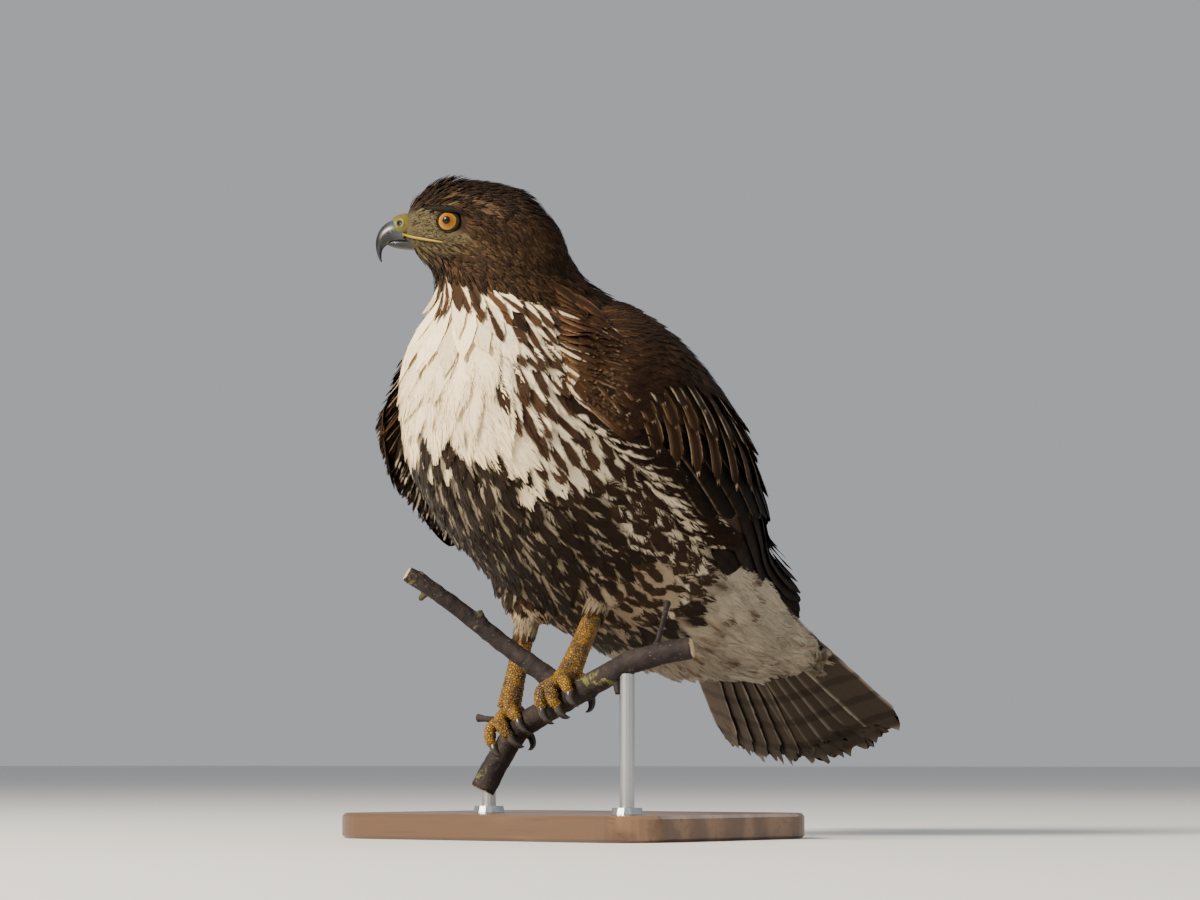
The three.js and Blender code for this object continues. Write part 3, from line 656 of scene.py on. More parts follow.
def skin_finish():
    """Bare skin between the feathers: the coat's colours, darker, with a fine down."""
    made = Finish("skin under feathers")
    here = made.here()
    share = made.noise(made.scaled(here, 1, 1, 0.35), 260, 4, 0.6)
    marks = made.colour_of("mark").parts()
    colour = made.mix(share.rise(0.35, 0.62) * marks[0], made.colour_of("ground"), made.colour_of("ink"))
    colour = made.shade(colour, 0.55 + 0.4 * made.noise(here, 900, 3))
    return made.surface(colour, 0.9, made.bump(share, 0.5, 0.0008), 0.2)


class Surface:
    """A mesh asked for its nearest points and its outward normals."""

    def __init__(self, mesh):
        self.points = unplaced(mesh_points(mesh))
        self.normals = mesh_normals(mesh)
        faces = [tuple(face.vertices) for face in mesh.polygons]
        self.faces = faces
        self.tree = BVHTree.FromPolygons([Vector(p) for p in self.points], faces)

    def near(self, points):
        """The nearest points on the surface, and their normals."""
        found = np.empty_like(points)
        normals = np.empty_like(points)
        for i, point in enumerate(points):
            place, _, face, _ = self.tree.find_nearest(point)
            found[i] = place
            normals[i] = self.normals[list(self.faces[face])].mean(0)
        return found, unit(normals)


# Feathers as joined vanes

class Pattern:
    """The cut of one feather: rows and columns of its vane, and the barbs over it and past its edge."""

    def __init__(
        self, columns, rows, barbs, point, swell=None, taper=0.5, barb_reach=0.2, barb_width=0.4, solid=1.0
    ):
        self.columns, self.rows, self.barbs, self.solid = columns, rows, barbs, solid
        self.point, self.swell, self.taper = point, swell or 1 - point, taper
        self.barb_reach, self.barb_width = barb_reach, barb_width
        v = 1 - (1 - np.linspace(0, 1, rows)) ** 1.25
        u = np.linspace(-1, 1, columns)
        self.v, self.u = (grid.ravel() for grid in np.meshgrid(v, u, indexing="ij"))
        r, c = np.meshgrid(np.arange(rows - 1), np.arange(columns - 1), indexing="ij")
        a = (r * columns + c).ravel()
        vane = np.stack([a, a + 1, a + columns + 1, a + columns], axis=1)
        first = rows * columns + 6 * np.arange(barbs)[:, None]
        self.quads = np.vstack([vane, first + [0, 1, 2, 3], first + [3, 2, 4, 5]])

    def width_at(self, v):
        """Half width of the vane at each v, as a share of the widest."""
        v = np.clip(v, 0, 0.985)
        body = 0.42 + 0.58 * np.sin(np.clip(v / self.swell, 0, 1) * math.pi / 2)
        tip = np.clip(1 - ((v - (1 - self.point)) / self.point).clip(0, 1) ** 2, 0, 1) ** self.taper
        return body * tip

    def spread(self, half, length, loose, rng):
        """Places of every point of the feathers: across and along as shares, and height in millimetres."""
        count = len(half)
        n = len(self.v)
        u = np.tile(self.u, (count, 1))
        v = np.tile(self.v, (count, 1))
        jag = (rng.random((count, n)) - 0.5) * loose[:, None]
        x = u * self.width_at(self.v) * (self.solid + 0.12 * jag)
        v = v * (1 - 0.05 * u**2) + 0.12 * jag * step(0.55, 1.0, v)
        height = 0.06 * jag * half[:, None]
        if not self.barbs:
            return x, v, height
        shape = (count, self.barbs)
        side = np.where(np.arange(self.barbs) % 2 == 0, 1.0, -1.0)
        start = 0.12 + 0.82 * ((np.arange(self.barbs) + rng.random(shape)) / self.barbs) ** 0.8
        base_x = side * self.width_at(start) * (0.1 + 0.65 * rng.random(shape))
        end = start + (0.12 + 0.17 * rng.random(shape)) * (0.6 + 0.6 * loose[:, None])
        end = np.minimum(end, 1.0 + 0.05 * rng.random(shape))
        past = self.barb_reach * loose[:, None] * rng.random(shape)
        tip_x = side * (self.width_at(end) + past) * np.clip((1.12 - end) / 0.22, 0.05, 1)
        ratio = (half / length)[:, None]
        run_x, run_v = (tip_x - base_x) * ratio, end - start
        scale = self.barb_width / length[:, None] / np.hypot(run_x, run_v)
        off_x, off_v = -run_v * scale / ratio, run_x * scale
        lift = 0.12 * rng.random(shape) * loose[:, None] * half[:, None]
        parts = []
        for share, bow, wide, high in ((0, 0, 1.0, 0.1), (0.48, 0.68, 0.85, 0.45), (1, 1, 0.12, 1.0)):
            middle_x = base_x + bow * (tip_x - base_x)
            middle_v = start + share * (end - start)
            rise = 0.03 * half[:, None] + high * lift
            for sign in (1, -1) if share == 0 else (-1, 1):
                parts.append((middle_x + sign * wide * off_x, middle_v + sign * wide * off_v, rise))
        added = [np.stack(rows, axis=2).reshape(count, -1) for rows in zip(*parts)]
        return np.hstack([x, added[0]]), np.hstack([v, added[1]]), np.hstack([height, added[2]])


def feather_mesh(
    name, pattern, rows, half, facts, tones, root_uv, rng, camber=0.08, tilt=0.0, thick=0.0, patch=0.003
):
    """A joined mesh of feathers. rows holds the centre, side and normal of each along its length."""
    centres, across, normals = rows
    count, stations = centres.shape[:2]
    length = np.linalg.norm(np.diff(centres, axis=1), axis=2).sum(1)
    x, v, height = pattern.spread(half, length, facts[:, LOOSE], rng)
    at = np.clip(v, 0, 1.12) * (stations - 1)
    i = np.minimum(at.astype(int), stations - 2)
    f = (at - i)[..., None]
    pick = np.arange(count)[:, None]
    centre = centres[pick, i] * (1 - f) + centres[pick, i + 1] * f
    side = across[pick, i] * (1 - f) + across[pick, i + 1] * f
    normal = normals[pick, i] * (1 - f) + normals[pick, i + 1] * f
    raise_by = height - camber * half[:, None] * x**2 + np.reshape(tilt, (-1, 1)) * x
    points = centre + side * (x * half[:, None])[..., None] + normal * raise_by[..., None]
    quads = pattern.quads
    if thick:
        body = thick * np.clip(1 - (x / pattern.width_at(v)) ** 2, 0, 1) * (1 - step(0.9, 1.0, v))
        quads = np.vstack([quads, quads[:, ::-1] + points.shape[1]])
        points = np.concatenate([points, points - normal * body[..., None]], axis=1)
        x, v = np.hstack([x, x]), np.hstack([v, v])
    per = points.shape[1]
    quads = (quads[None] + per * np.arange(count)[:, None, None]).reshape(-1, 4)
    vane = np.stack([0.5 + 0.5 * x, v], axis=2)
    bake = root_uv[:, None, :] + patch * (vane.clip(0, 1) - 0.5)
    colours = {k: np.repeat(c, per, axis=0) for k, c in colours_of(facts, tones).items()}
    layers = {"vane": vane.reshape(-1, 2), "OFBake": bake.reshape(-1, 2)}
    return array_mesh(name, points.reshape(-1, 3), quads, layers, colours)


def lay_on(surface, roots, lie_of, length, depth, twist, stations=6):
    """Centres, sides and normals of feathers that start at roots and lie along a surface."""
    count = len(roots)
    centres = np.empty((count, stations, 3))
    normals = np.empty_like(centres)
    across = np.empty_like(centres)
    here, normal = surface.near(roots)
    for k in range(stations):
        lie = lie_of(here)
        lie = unit(lie - normal * dot(lie, normal))
        side = np.cross(lie, normal)
        lie = unit(lie * np.cos(twist)[:, None] + side * np.sin(twist)[:, None])
        share = k / (stations - 1)
        centres[:, k] = here + normal * (depth * (1.05 * share**0.75) - 0.4)[:, None]
        normals[:, k] = normal
        across[:, k] = np.cross(lie, normal)
        if k + 1 < stations:
            ahead = here + lie * (length / (stations - 1))[:, None]
            here, normal = surface.near(ahead)
    return centres, across, normals


def bridged(roots, root_out, ends, end_out, lift, stations=6):
    """Centres, sides and normals of feathers that start at roots and lie over onto ends."""
    t = np.linspace(0, 1, stations)[None, :, None]
    centres = roots[:, None] * (1 - t) + ends[:, None] * t
    normals = unit(root_out[:, None] * (1 - t) + end_out[:, None] * t)
    centres = centres + normals * (4 * lift * t * (1 - t))
    along = unit(np.gradient(centres, axis=1))
    return centres, unit(np.cross(along, normals)), normals


def scattered(surface, space_at, tries, rng, keep):
    """Roots spread over a surface, as close as the feathers there ask, with none where keep is false."""
    triangles = np.array([(f[0], f[i], f[i + 1]) for f in surface.faces for i in range(1, len(f) - 1)])
    a, b, c = (surface.points[triangles[:, k]] for k in range(3))
    area = np.linalg.norm(np.cross(b - a, c - a), axis=1)
    space = space_at[triangles].mean(1)
    weight = area / space**2
    picked = rng.choice(len(triangles), size=tries, p=weight / weight.sum())
    s, t = rng.random(tries), rng.random(tries)
    over = s + t > 1
    s[over], t[over] = 1 - s[over], 1 - t[over]
    points = a[picked] + s[:, None] * (b - a)[picked] + t[:, None] * (c - a)[picked]
    good = keep(points)
    points, spaces = points[good], space[picked][good]
    tree = kd_tree(points)
    crowded = np.zeros(len(points), bool)
    chosen = []
    for i, point in enumerate(points):
        if not crowded[i]:
            chosen.append(i)
            for _, other, _ in tree.find_range(point, spaces[i]):
                crowded[other] = True
    return points[np.array(chosen)]


def feather_finish(
    name, edge, barb_count, bars=0, soft=0.12, sheen=0.0, streaks=0.3, gloss=0.1, tips=4.6
):
    """A feather vane: ground, an ink blot down its middle, pale edge, barbs and shaft."""
    made = Finish(name)
    u, v = made.map("vane")
    marks = made.colour_of("mark")
    blot, start, pale = marks.parts()
    tone = made.fourth_of("mark")
    notch = made.fourth_of("ground")
    across = abs(u * 2.0 - 1.0)
    slanted = v - across * 0.22
    streak = made.point(slanted * barb_count, across * 1.7, tone * 31.0)
    barbs = made.noise(streak, 1.0, 2.0, 0.6)
    clump = made.noise(made.point(slanted * 7.0, across * 1.1, tone * 57.0), 1.0, 2.0, 0.5)
    rag = (clump - 0.5) * 0.45 + (barbs - 0.5) * 0.18
    place = (v - start) / (1.12 - start)
    drop = place.most(0.0) ** 0.65 * (1.16 - place).most(0.0) ** 0.25 * 1.26
    bites = ((v * 15.0 + tone * 6.3).sin() - 0.1).most(0.0) * notch
    width = blot * drop * (1.0 - bites * (1.0 - tone * 0.4))
    inked = 1.0 - (across + rag * 0.5).rise(width - soft, width + soft)
    inked = inked * (blot * 50.0).least(1.0)
    ink = made.shade(made.colour_of("ink"), 0.5 + 0.5 * clump + 0.3 * barbs + 0.35 * tone)
    colour = made.mix(inked, made.colour_of("ground"), ink)
    rim = (across.most((v - 0.8) * tips) + rag * 0.35).rise(0.78, 1.0)
    colour = made.mix(rim * pale, colour, edge)
    if bars:
        band = (v * (bars * 2 * math.pi) + (clump - 0.5) * 1.6).sin().rise(0.35, 0.85)
        colour = made.mix(band * 0.5, colour, made.colour_of("ink"))
    shaft = 1.0 - across.rise(0.012, 0.04)
    colour = made.mix(shaft * 0.25, colour, made.shade(colour, 0.5))
    light = (1.0 - streaks * 0.75) + streaks * barbs
    light = light + 0.8 * streaks * (tone - 0.5) + 0.3 * streaks * (clump - 0.5)
    colour = made.shade(colour, light)
    normal = made.bump(barbs * 0.7 + shaft * 0.6, 0.25, 0.0005)
    return made.surface(
        colour, 0.7 + 0.2 * barbs, normal, gloss, {"Sheen Weight": sheen, "Sheen Roughness": 0.5}
    )


# Cuts of body feathers
FINE = Pattern(3, 5, 12, point=0.6, taper=0.7, barb_reach=0.5, barb_width=0.16)
NECK = Pattern(3, 5, 20, point=0.6, taper=0.7, barb_reach=0.4, barb_width=0.22)
BODY = Pattern(5, 7, 120, point=0.5, taper=0.6, barb_reach=0.2, barb_width=0.34, solid=0.84)
SILK = Pattern(5, 8, 150, point=0.62, taper=0.8, barb_reach=0.3, barb_width=0.32, solid=0.78)
BACK = Pattern(5, 7, 56, point=0.5, taper=0.6, barb_reach=0.14, barb_width=0.34, solid=0.9)


# Feathers left out under a wing: least u and v over it of roots and of tips, most u and v, and the gap
COVERED_ROOTS, COVERED_TIPS = (0.08, 0.14), (0.6, 0.03)
COVERED_MOST = (0.97, 0.84)
COVERED_GAP = 34.0


def under_wings(points, tips):
    """Whether feathers lie under a wing: rooted deep under it, or with their tips under its point."""
    u, v = (grid.ravel() for grid in np.meshgrid(np.linspace(0, 1, 41), np.linspace(0, 1, 21), indexing="ij"))
    hidden = np.zeros(len(points), bool)
    for name, side in SIDES.items():
        sheet = wing_sheet(WING_LOWER[name], u, v) * np.array([side, 1, 1])
        tree = kd_tree(sheet)
        for places, (least_u, least_v) in ((points, COVERED_ROOTS), (tips, COVERED_TIPS)):
            found = [tree.find(point) for point in places]
            nearest = np.array([row[1] for row in found])
            gap = np.array([row[2] for row in found])
            inside = (u[nearest] > least_u) & (u[nearest] < COVERED_MOST[0])
            inside &= (v[nearest] > least_v) & (v[nearest] < COVERED_MOST[1])
            hidden |= inside & (gap < COVERED_GAP)
    return hidden


# Where no feather roots, in the head's frame: within a distance of the eyes and lips, and on the bill
EYE_CLEAR = (((1.2, 24.5, 0), 8.8), ((0, EYE_ACROSS, 0), 9.6))
LIP_LINE = ((5, 23, -13), (15, 17.4, -10.6), (27, 9, -6.5))
LIP_CLEAR = 2.2
BILL_ROOT = {"ahead": 20.0, "half": 9.6, "low": -10.0, "high": 8.8}
CHIN_END = {"ahead": 26.0, "high": -4.0}
# Slot in the coat for the tail: its gap, where it starts and ends, and its half width
TAIL_SLOT = {"gap": 7.5, "start": -4.0, "end": 160.0, "half": 20.0, "widening": 0.32}


def away_from_bare_parts(points):
    """Whether feathers may root at each point: not in the eye sockets, on the bill or in the tail's slot."""
    rel = points - HEAD_AT
    ahead, side, high = rel @ FORWARD, rel @ ACROSS, rel @ UP
    good = np.ones(len(points), bool)
    for sign in SIDES.values():
        for (forward, across, up), clear in EYE_CLEAR:
            good &= np.linalg.norm(points - in_head(forward, sign * across, up), axis=1) > clear
        lips = [in_head(forward, sign * across, up) for forward, across, up in LIP_LINE]
        for ends in zip(lips, lips[1:]):
            good &= near_segment(points, ends) > LIP_CLEAR
    bill = (ahead > BILL_ROOT["ahead"]) & (np.abs(side) < BILL_ROOT["half"])
    good &= ~(bill & (high > BILL_ROOT["low"]) & (high < BILL_ROOT["high"]))
    good &= ~((ahead > CHIN_END["ahead"]) & (high < CHIN_END["high"]))
    along, out = on_tail_frame(points)
    slot = (np.abs(out) < TAIL_SLOT["gap"]) & (along > TAIL_SLOT["start"]) & (along < TAIL_SLOT["end"])
    good &= ~(slot & (np.abs(points[:, 0]) < TAIL_SLOT["half"] + TAIL_SLOT["widening"] * along))
    return good


# Tail frame: along towards the tips, and out from its upper face
TAIL = {
    "slope": math.radians(44),
    "length": 236.0,
    "spread": math.radians(17.4),
    "feathers": 12,
    "half": 14.0,
    "root": 40.0,
    "trough": 0.0029,
}
TAIL_ROOT = np.array([0.0, 133.0, 128.0])
TAIL_ALONG = np.array([0.0, math.cos(TAIL["slope"]), -math.sin(TAIL["slope"])])
TAIL_OUT = np.array([0.0, math.sin(TAIL["slope"]), math.cos(TAIL["slope"])])


def on_tail(along, across, out):
    """Points of the tail's own frame in the bird's frame."""
    along, across, out = np.broadcast_arrays(along, across, out)
    high = out + TAIL["trough"] * across**2
    side = np.array([1.0, 0, 0])
    return TAIL_ROOT + along[..., None] * TAIL_ALONG + across[..., None] * side + high[..., None] * TAIL_OUT


def on_tail_frame(points):
    """How far points are along the tail, and out from its middle."""
    rel = points - TAIL_ROOT
    return rel @ TAIL_ALONG, rel @ TAIL_OUT - TAIL["trough"] * points[:, 0] ** 2


# Bounds of the coat pieces: the neck along the spine, with the longest feather it takes, how near and
# how high the leg feathers root, how far round from the breast the back starts, the vent's y, the breast's z
NECK_END, NECK_LONGEST = 138.0, 24.0
LEG_NEAR, LEG_TOP = 31.0, 112.0
BACK_START, VENT_START, BREAST_LOW = 1.65, 62.0, 168.0


def coat_regions(roots, reach, turn, length):
    """Which roots belong to each coat piece."""
    x, y, z = roots.T
    low = math.pi - np.abs(turn)
    free = np.ones(len(roots), bool)
    near_leg = np.minimum(*(near_segment(roots, THIGHS[s]) for s in SIDES)) < LEG_NEAR
    wanted = {
        "coat_head": reach < HEAD_END - 6,
        "coat_neck": (reach < NECK_END) & (length < NECK_LONGEST),
        "coat_thighs": near_leg & (z < LEG_TOP),
        "coat_back": low > BACK_START,
        "coat_vent_left": (y > VENT_START) & (x > 0),
        "coat_vent_right": y > VENT_START,
        "coat_breast": z > BREAST_LOW,
        "coat_belly": free,
    }
    regions = {}
    for name, want in wanted.items():
        regions[name] = free & want
        free = free & ~want
    return regions


# Coat pieces: the cut of their feathers, their finish and their slot
COAT = {
    "coat_head": (FINE, "brown", "brown_feathers"),
    "coat_neck": (NECK, "brown", "brown_feathers"),
    "coat_thighs": (BODY, "pale", "breast_feathers"),
    "coat_back": (BACK, "back", "brown_feathers"),
    "coat_vent_left": (SILK, "down", "breast_feathers"),
    "coat_vent_right": (SILK, "down", "breast_feathers"),
    "coat_breast": (SILK, "pale", "breast_feathers"),
    "coat_belly": (BODY, "pale", "breast_feathers"),
}
CREAM, TAN = (0.8, 0.73, 0.6), (0.36, 0.225, 0.12)


def coat_finishes():
    """The finishes of the coat, by name."""
    return {
        "brown": feather_finish("head feathers", TAN, 22, streaks=0.45, tips=1.5),
        "pale": feather_finish("breast feathers", CREAM, 70, sheen=0.12, streaks=0.16),
        "down": feather_finish("vent feathers", CREAM, 34, soft=0.35, sheen=0.12, streaks=0.45),
        "back": feather_finish("back feathers", TAN, 50, streaks=0.35),
    }


def coat_pieces(settings):
    """Makes the coat of head and body as joined meshes, one for each region."""
    surface = Surface(bpy.data.objects["skin"].data)
    rng = np.random.default_rng(SEED)
    space_at = plumage(surface.points)[0][:, SPACE] / settings.density
    roots = scattered(surface, space_at, COAT_TRIES, rng, away_from_bare_parts)
    facts, lie = plumage(roots)[:2]
    roots = roots[~under_wings(roots, roots + lie * facts[:, LENGTH, None] * 0.6)]
    count = len(roots)
    facts, _, reach, turn = plumage(roots, rng.random(count))
    uv = coat_place(reach, turn)
    wild = facts[:, LOOSE]
    facts[:, BLOT] *= (rng.random(count) < facts[:, INKED]) * (0.75 + 0.4 * rng.random(count))
    facts[:, START] += 0.16 * (rng.random(count) - 0.5)
    clouds = 1 + 0.2 * patchy(roots, 12, 3) * (reach < 150)
    facts[:, TINTS] *= clouds[:, None]
    length = facts[:, LENGTH] * (0.85 + 0.3 * rng.random(count))
    half = facts[:, HALF] * (0.85 + 0.3 * rng.random(count))
    pale = facts[:, GROUND][:, 0] > 0.5
    spare = np.where(pale, 0.1, 0.22) * rng.random(count) * wild
    spare += np.where(pale, 0.14, 0.35) * rng.random(count) ** 6
    depth = facts[:, DEPTH] * (0.95 + spare)
    depth += ruffle(roots) * (0.85 + 0.25 * rng.random(count))
    twist = math.radians(18) * (rng.random(count) - 0.5) * (0.6 + wild)
    rows = lay_on(surface, roots, lambda p: plumage(p)[1], length, depth, twist)
    tones = rng.random(count)
    finishes = coat_finishes()
    for name, own in coat_regions(roots, reach, turn, facts[:, LENGTH]).items():
        pattern, finish, slot = COAT[name]
        part = tuple(row[own] for row in rows)
        mesh = feather_mesh(name, pattern, part, half[own], facts[own], tones[own], uv[own], rng)
        dress(mesh, name, finishes[finish])


# Wings, drawn for the left one and mirrored

WING_LENGTH = 340.0
# Side and upper edge as x, y, z, from the wrist to the tip
WING = [
    [83, -60, 212, 56, -40, 250],
    [104, 4, 211, 36, 28, 262],
    [104, 68, 178, 13, 91, 231],
    [85, 120, 139, 9, 141, 177],
    [56, 165, 104, 11, 183, 127],
    [31, 236, 71, 26, 234, 77],
]
WING_LOWER = {
    "left": [[80, -60, 186], [98, -14, 152], [97, 42, 113], [83, 102, 91], [58, 156, 81], [31, 232, 66]],
    "right": [[80, -62, 172], [93, -24, 133], [95, 30, 102], [83, 98, 88], [58, 156, 81], [31, 232, 66]],
}


class Tier(NamedTuple):
    """One tier of a wing's vanes; a pair goes from the lowest vane to the highest, or from root to tip."""

    count: int
    roots: tuple  # u of the roots
    tips: tuple  # u of the tips
    across: tuple  # v
    lift: tuple
    widening: float  # half width, as a share of the space between vanes
    least: float  # half width at least
    stack: float  # how much each lies over the one before
    drop: float  # how far the tips drop in v
    kind: str


# From the lowest tier up
WING_TIERS = {
    "primaries": Tier(
        9, (0.5, 0.5), (1.0, 0.86), (-0.04, 0.72), (-3, 7.5), 0.82, 7.5, 0.5, 0.02, "primary"
    ),
    "secondaries": Tier(
        10, (0.14, 0.5), (0.42, 0.82), (0.09, 0.78), (-5, 1.4), 0.8, 7.0, 0.2, 0.12, "secondary"
    ),
    "tertials": Tier(
        3, (0.42, 0.46), (0.84, 0.8), (0.66, 0.82), (-5, 2.4), 0.95, 8.0, 0.4, 0.08, "secondary"
    ),
    "greater_coverts": Tier(
        12, (0.13, 0.6), (0.21, 0.77), (0.2, 0.88), (-4.4, 2.4), 0.62, 5.6, 0.09, 0.27, "greater"
    ),
    "median_coverts": Tier(
        13, (0.06, 0.56), (0.12, 0.7), (0.23, 0.9), (-4.2, 3.2), 0.64, 5.4, 0.06, 0.21, "median"
    ),
    "lower_lesser": Tier(
        13, (0.03, 0.53), (0.08, 0.645), (0.3, 0.88), (-4, 3.2), 0.66, 5.2, 0.04, 0.19, "median"
    ),
}
# Small coverts: rows, v of the lowest and highest, v between two, v that every other row is shifted by,
# u that the rows reach to at the lower edge, and how much further they reach above
LESSER_ROWS = 17
LESSER_V = (0.03, 0.93)
LESSER_STEP, LESSER_SHIFT = 0.046, 0.02
LESSER_REACH = (0.05, 0.47)
# Least length and half width, how much they vary, and how much larger they are by the back
LESSER_LENGTH = (24, 6, 12)
LESSER_HALF = (4.8, 1.4, 2.0)
# Pairs of small coverts along the back: v of both, u from and to, and u between two pairs
SCAPULAR_V = (0.9, 0.97)
SCAPULAR_U = (0.2, 0.76)
SCAPULAR_STEP = 0.032
# Rows of body feathers over the wing's rims: how far their roots lie off the rim, and their ends over it
FRINGE_ROWS = {
    "front": [(17, 4), (14, 8), (11, 12), (8, 16), (5, 20), (2, 24)],
    "lower": [(16, 0), (11, 5), (6, 11)],
}
FRINGE_COUNT = 19
FRINGE_WHITE = (0.52, 0.43, 0.31)
FRINGE_WHITE_SHARE, FRINGE_WHITE_TOP = 0.16, 238.0
SHINGLE = 1.5  # how much one edge of a vane stands over the other
WRIST_TUCK = (8.0, 5.0, -3.0)
FLECK = (0.6, 0.5, 0.36)
FLECK_SHARE = 0.3
U_ENDS = (0.012, 0.988)  # beyond these the wing runs on straight
FLIGHT = Pattern(7, 18, 0, point=0.13, swell=0.3)
COVERT = Pattern(7, 11, 60, point=0.17, swell=0.45, barb_reach=0.04, barb_width=0.3, solid=0.95)
SMALL = Pattern(5, 6, 40, point=0.36, barb_reach=0.25, barb_width=0.28)
TAIL_CUT = Pattern(9, 26, 0, point=0.06, swell=0.3)


def wing_sheet(lower, u, v):
    """Points of the wing's surface: u from wrist to tip, v from the lower edge to the upper one."""
    edge, sides = smooth(lower, u), smooth(WING, u)
    v = np.broadcast_to(np.asarray(v, float), len(edge))[:, None]
    low, middle, top = (1 - v) * (1 - 2 * v), 4 * v * (1 - v), v * (2 * v - 1)
    return low * edge + middle * sides[:, :3] + top * sides[:, 3:]


def wing_frame(lower, u, v):
    """Points of the wing's surface with its way to the tip, its outward normal and its scale along u."""
    gap = 0.01
    u = np.asarray(u, float)
    ahead = wing_sheet(lower, u + gap, v) - wing_sheet(lower, u - gap, v)
    over = wing_sheet(lower, u, np.asarray(v) + gap) - wing_sheet(lower, u, np.asarray(v) - gap)
    scale = np.linalg.norm(ahead, axis=1) / (2 * gap)
    return wing_sheet(lower, u, v), unit(ahead), unit(np.cross(ahead, over)), scale


def wing_rows(lower, u, v, lift):
    """Centres, sides and normals of vanes over the wing. u, v and lift are arrays of feathers by stations."""
    inner = np.clip(u, *U_ENDS)
    here, way, out, _ = wing_frame(lower, inner.ravel(), v.ravel())
    beyond = ((u - inner) * WING_LENGTH).ravel()[:, None]
    full = (*u.shape, 3)
    here = (here + way * beyond + out * lift.ravel()[:, None]).reshape(full)
    out = out.reshape(full)
    return here, unit(np.cross(np.gradient(here, axis=1), out)), out


def mixed(pair, share):
    """A number between a pair."""
    return pair[0] + (pair[1] - pair[0]) * share


def tier_rows(lower, tier, stations=9):
    """The vanes of one tier: rows for the feather mesh, half widths and root places."""
    t = np.linspace(0, 1, tier.count)
    along = np.linspace(0, 1, stations)
    roots, tips = mixed(tier.roots, t), mixed(tier.tips, t)
    u = roots[:, None] + (tips - roots)[:, None] * along
    v = mixed(tier.across, t)[:, None]
    v = v - tier.drop * (4 * v * (1 - v)).clip(0, 1) * along
    rise = along**2 if tier.kind == "primary" else along
    height = mixed(tier.lift, rise)[None] + tier.stack * np.arange(tier.count)[:, None] * along**2
    height = height - 4.6 * step(0.62, 0.92, v)
    space = (tier.across[1] - tier.across[0]) / max(tier.count - 1, 1)
    middle = 0.5 * (u[:, 0] + u[:, -1])
    apart = wing_sheet(lower, middle, v[:, 0] + space) - wing_sheet(lower, middle, v[:, 0])
    half = np.maximum(tier.widening * np.linalg.norm(apart, axis=1), tier.least)
    return wing_rows(lower, u, v, height), half, np.stack([u[:, 0], v[:, 0]], axis=1)


def tucked(points):
    """Points of the right wing, with its wrist drawn into the breast."""
    share = (1 - step(-52, 6, points[..., 1:2])) * step(170, 205, points[..., 2:3])
    return points + share * np.array(WRIST_TUCK)


def mirrored(rows, side):
    """Rows of vanes, mirrored for the bird's right."""
    if side > 0:
        return rows
    flip = np.array([-1.0, 1, 1])
    return tucked(rows[0] * flip), -rows[1] * flip, rows[2] * flip


def spread_facts(kind, count, rng):
    """Facts of like feathers, each a little different."""
    facts = np.tile(kind_row(kind), (count, 1))
    facts[:, TINTS] *= 0.85 + 0.3 * rng.random((count, 1))
    facts[:, PALE] *= 0.4 + 1.2 * rng.random(count) ** 2
    return facts


def flecked(facts, share, rng):
    """Facts of feathers with a pale ground beside the ink on some of them."""
    some = rng.random(len(facts)) < share
    facts[some, GROUND] = FLECK
    facts[some, BLOT] = 0.9
    facts[some, START] = -0.3
    return facts


# Body of the wing: u from and to, and its thickness from the wrist to the tip
SHELL_U = (0.015, 0.84)
SHELL_THICK = [[34], [34], [24], [12], [7], [5]]


def wing_shell(name, side):
    """The body of the wing under its vanes."""
    lower = WING_LOWER[name]
    steps, across = 26, 16
    v = np.linspace(0, 1, across)
    rings = []
    for u in np.linspace(*SHELL_U, steps + 1):
        here, _, out, _ = wing_frame(lower, np.full(across, u), v)
        thick = smooth(SHELL_THICK, u)[0, 0]
        outer = 3.4 + 30 * max(0, 0.12 - u) + 3 * (2 * v - 1) ** 4
        inner = outer + thick * (0.35 + 2.6 * v * (1 - v))
        ring = np.vstack([here - out * outer[:, None], (here - out * inner[:, None])[::-1]])
        ring = ring * np.array([side, 1, 1])
        rings.append(ring if side > 0 else tucked(ring))
    bm = bmesh.new()
    add_sweep(bm, rings)
    return bm


def wing_tier(name, side, tier, finishes, rng):
    """One tier of flight feathers or coverts."""
    kind = WING_TIERS[tier].kind
    rows, half, root = tier_rows(WING_LOWER[name], WING_TIERS[tier])
    flight = kind in ("primary", "secondary")
    facts = spread_facts(kind, len(half), rng)
    if kind == "median":
        facts = flecked(facts, FLECK_SHARE, rng)
    pattern = FLIGHT if flight else COVERT
    shape = {"camber": 0.1, "tilt": SHINGLE * side, "thick": 0.5 if flight else 0.0, "patch": 0.03}
    root_uv = 0.05 + 0.85 * root.clip(0, 1)
    tones = rng.random(len(half))
    mesh = feather_mesh(
        f"wing_{name}_{tier}", pattern, mirrored(rows, side), half, facts, tones, root_uv, rng, **shape
    )
    dress(mesh, mesh.name, finishes["flight" if flight else "covert"])


def lesser_places(rng):
    """Places of the small coverts in u and v: staggered rows at the front, and pairs along the back."""
    places = []
    for k in range(LESSER_ROWS):
        v = np.arange(LESSER_V[0] + LESSER_SHIFT * (k % 2), LESSER_V[1], LESSER_STEP)
        share = 1 - k / (LESSER_ROWS - 1)
        reach = LESSER_REACH[0] + LESSER_REACH[1] * step(0.24, 1.0, v)
        jitter = rng.random((2, len(v))) - 0.5
        places.append(np.stack([share * reach + 0.012 * jitter[0], v + 0.014 * jitter[1]], 1))
    for k, root in enumerate(np.arange(*SCAPULAR_U, SCAPULAR_STEP)):
        v = np.array(SCAPULAR_V) - 0.03 * (k % 2)
        places.append(np.stack([root + 0.012 * (rng.random(2) - 0.5), v], 1))
    return np.vstack(places)


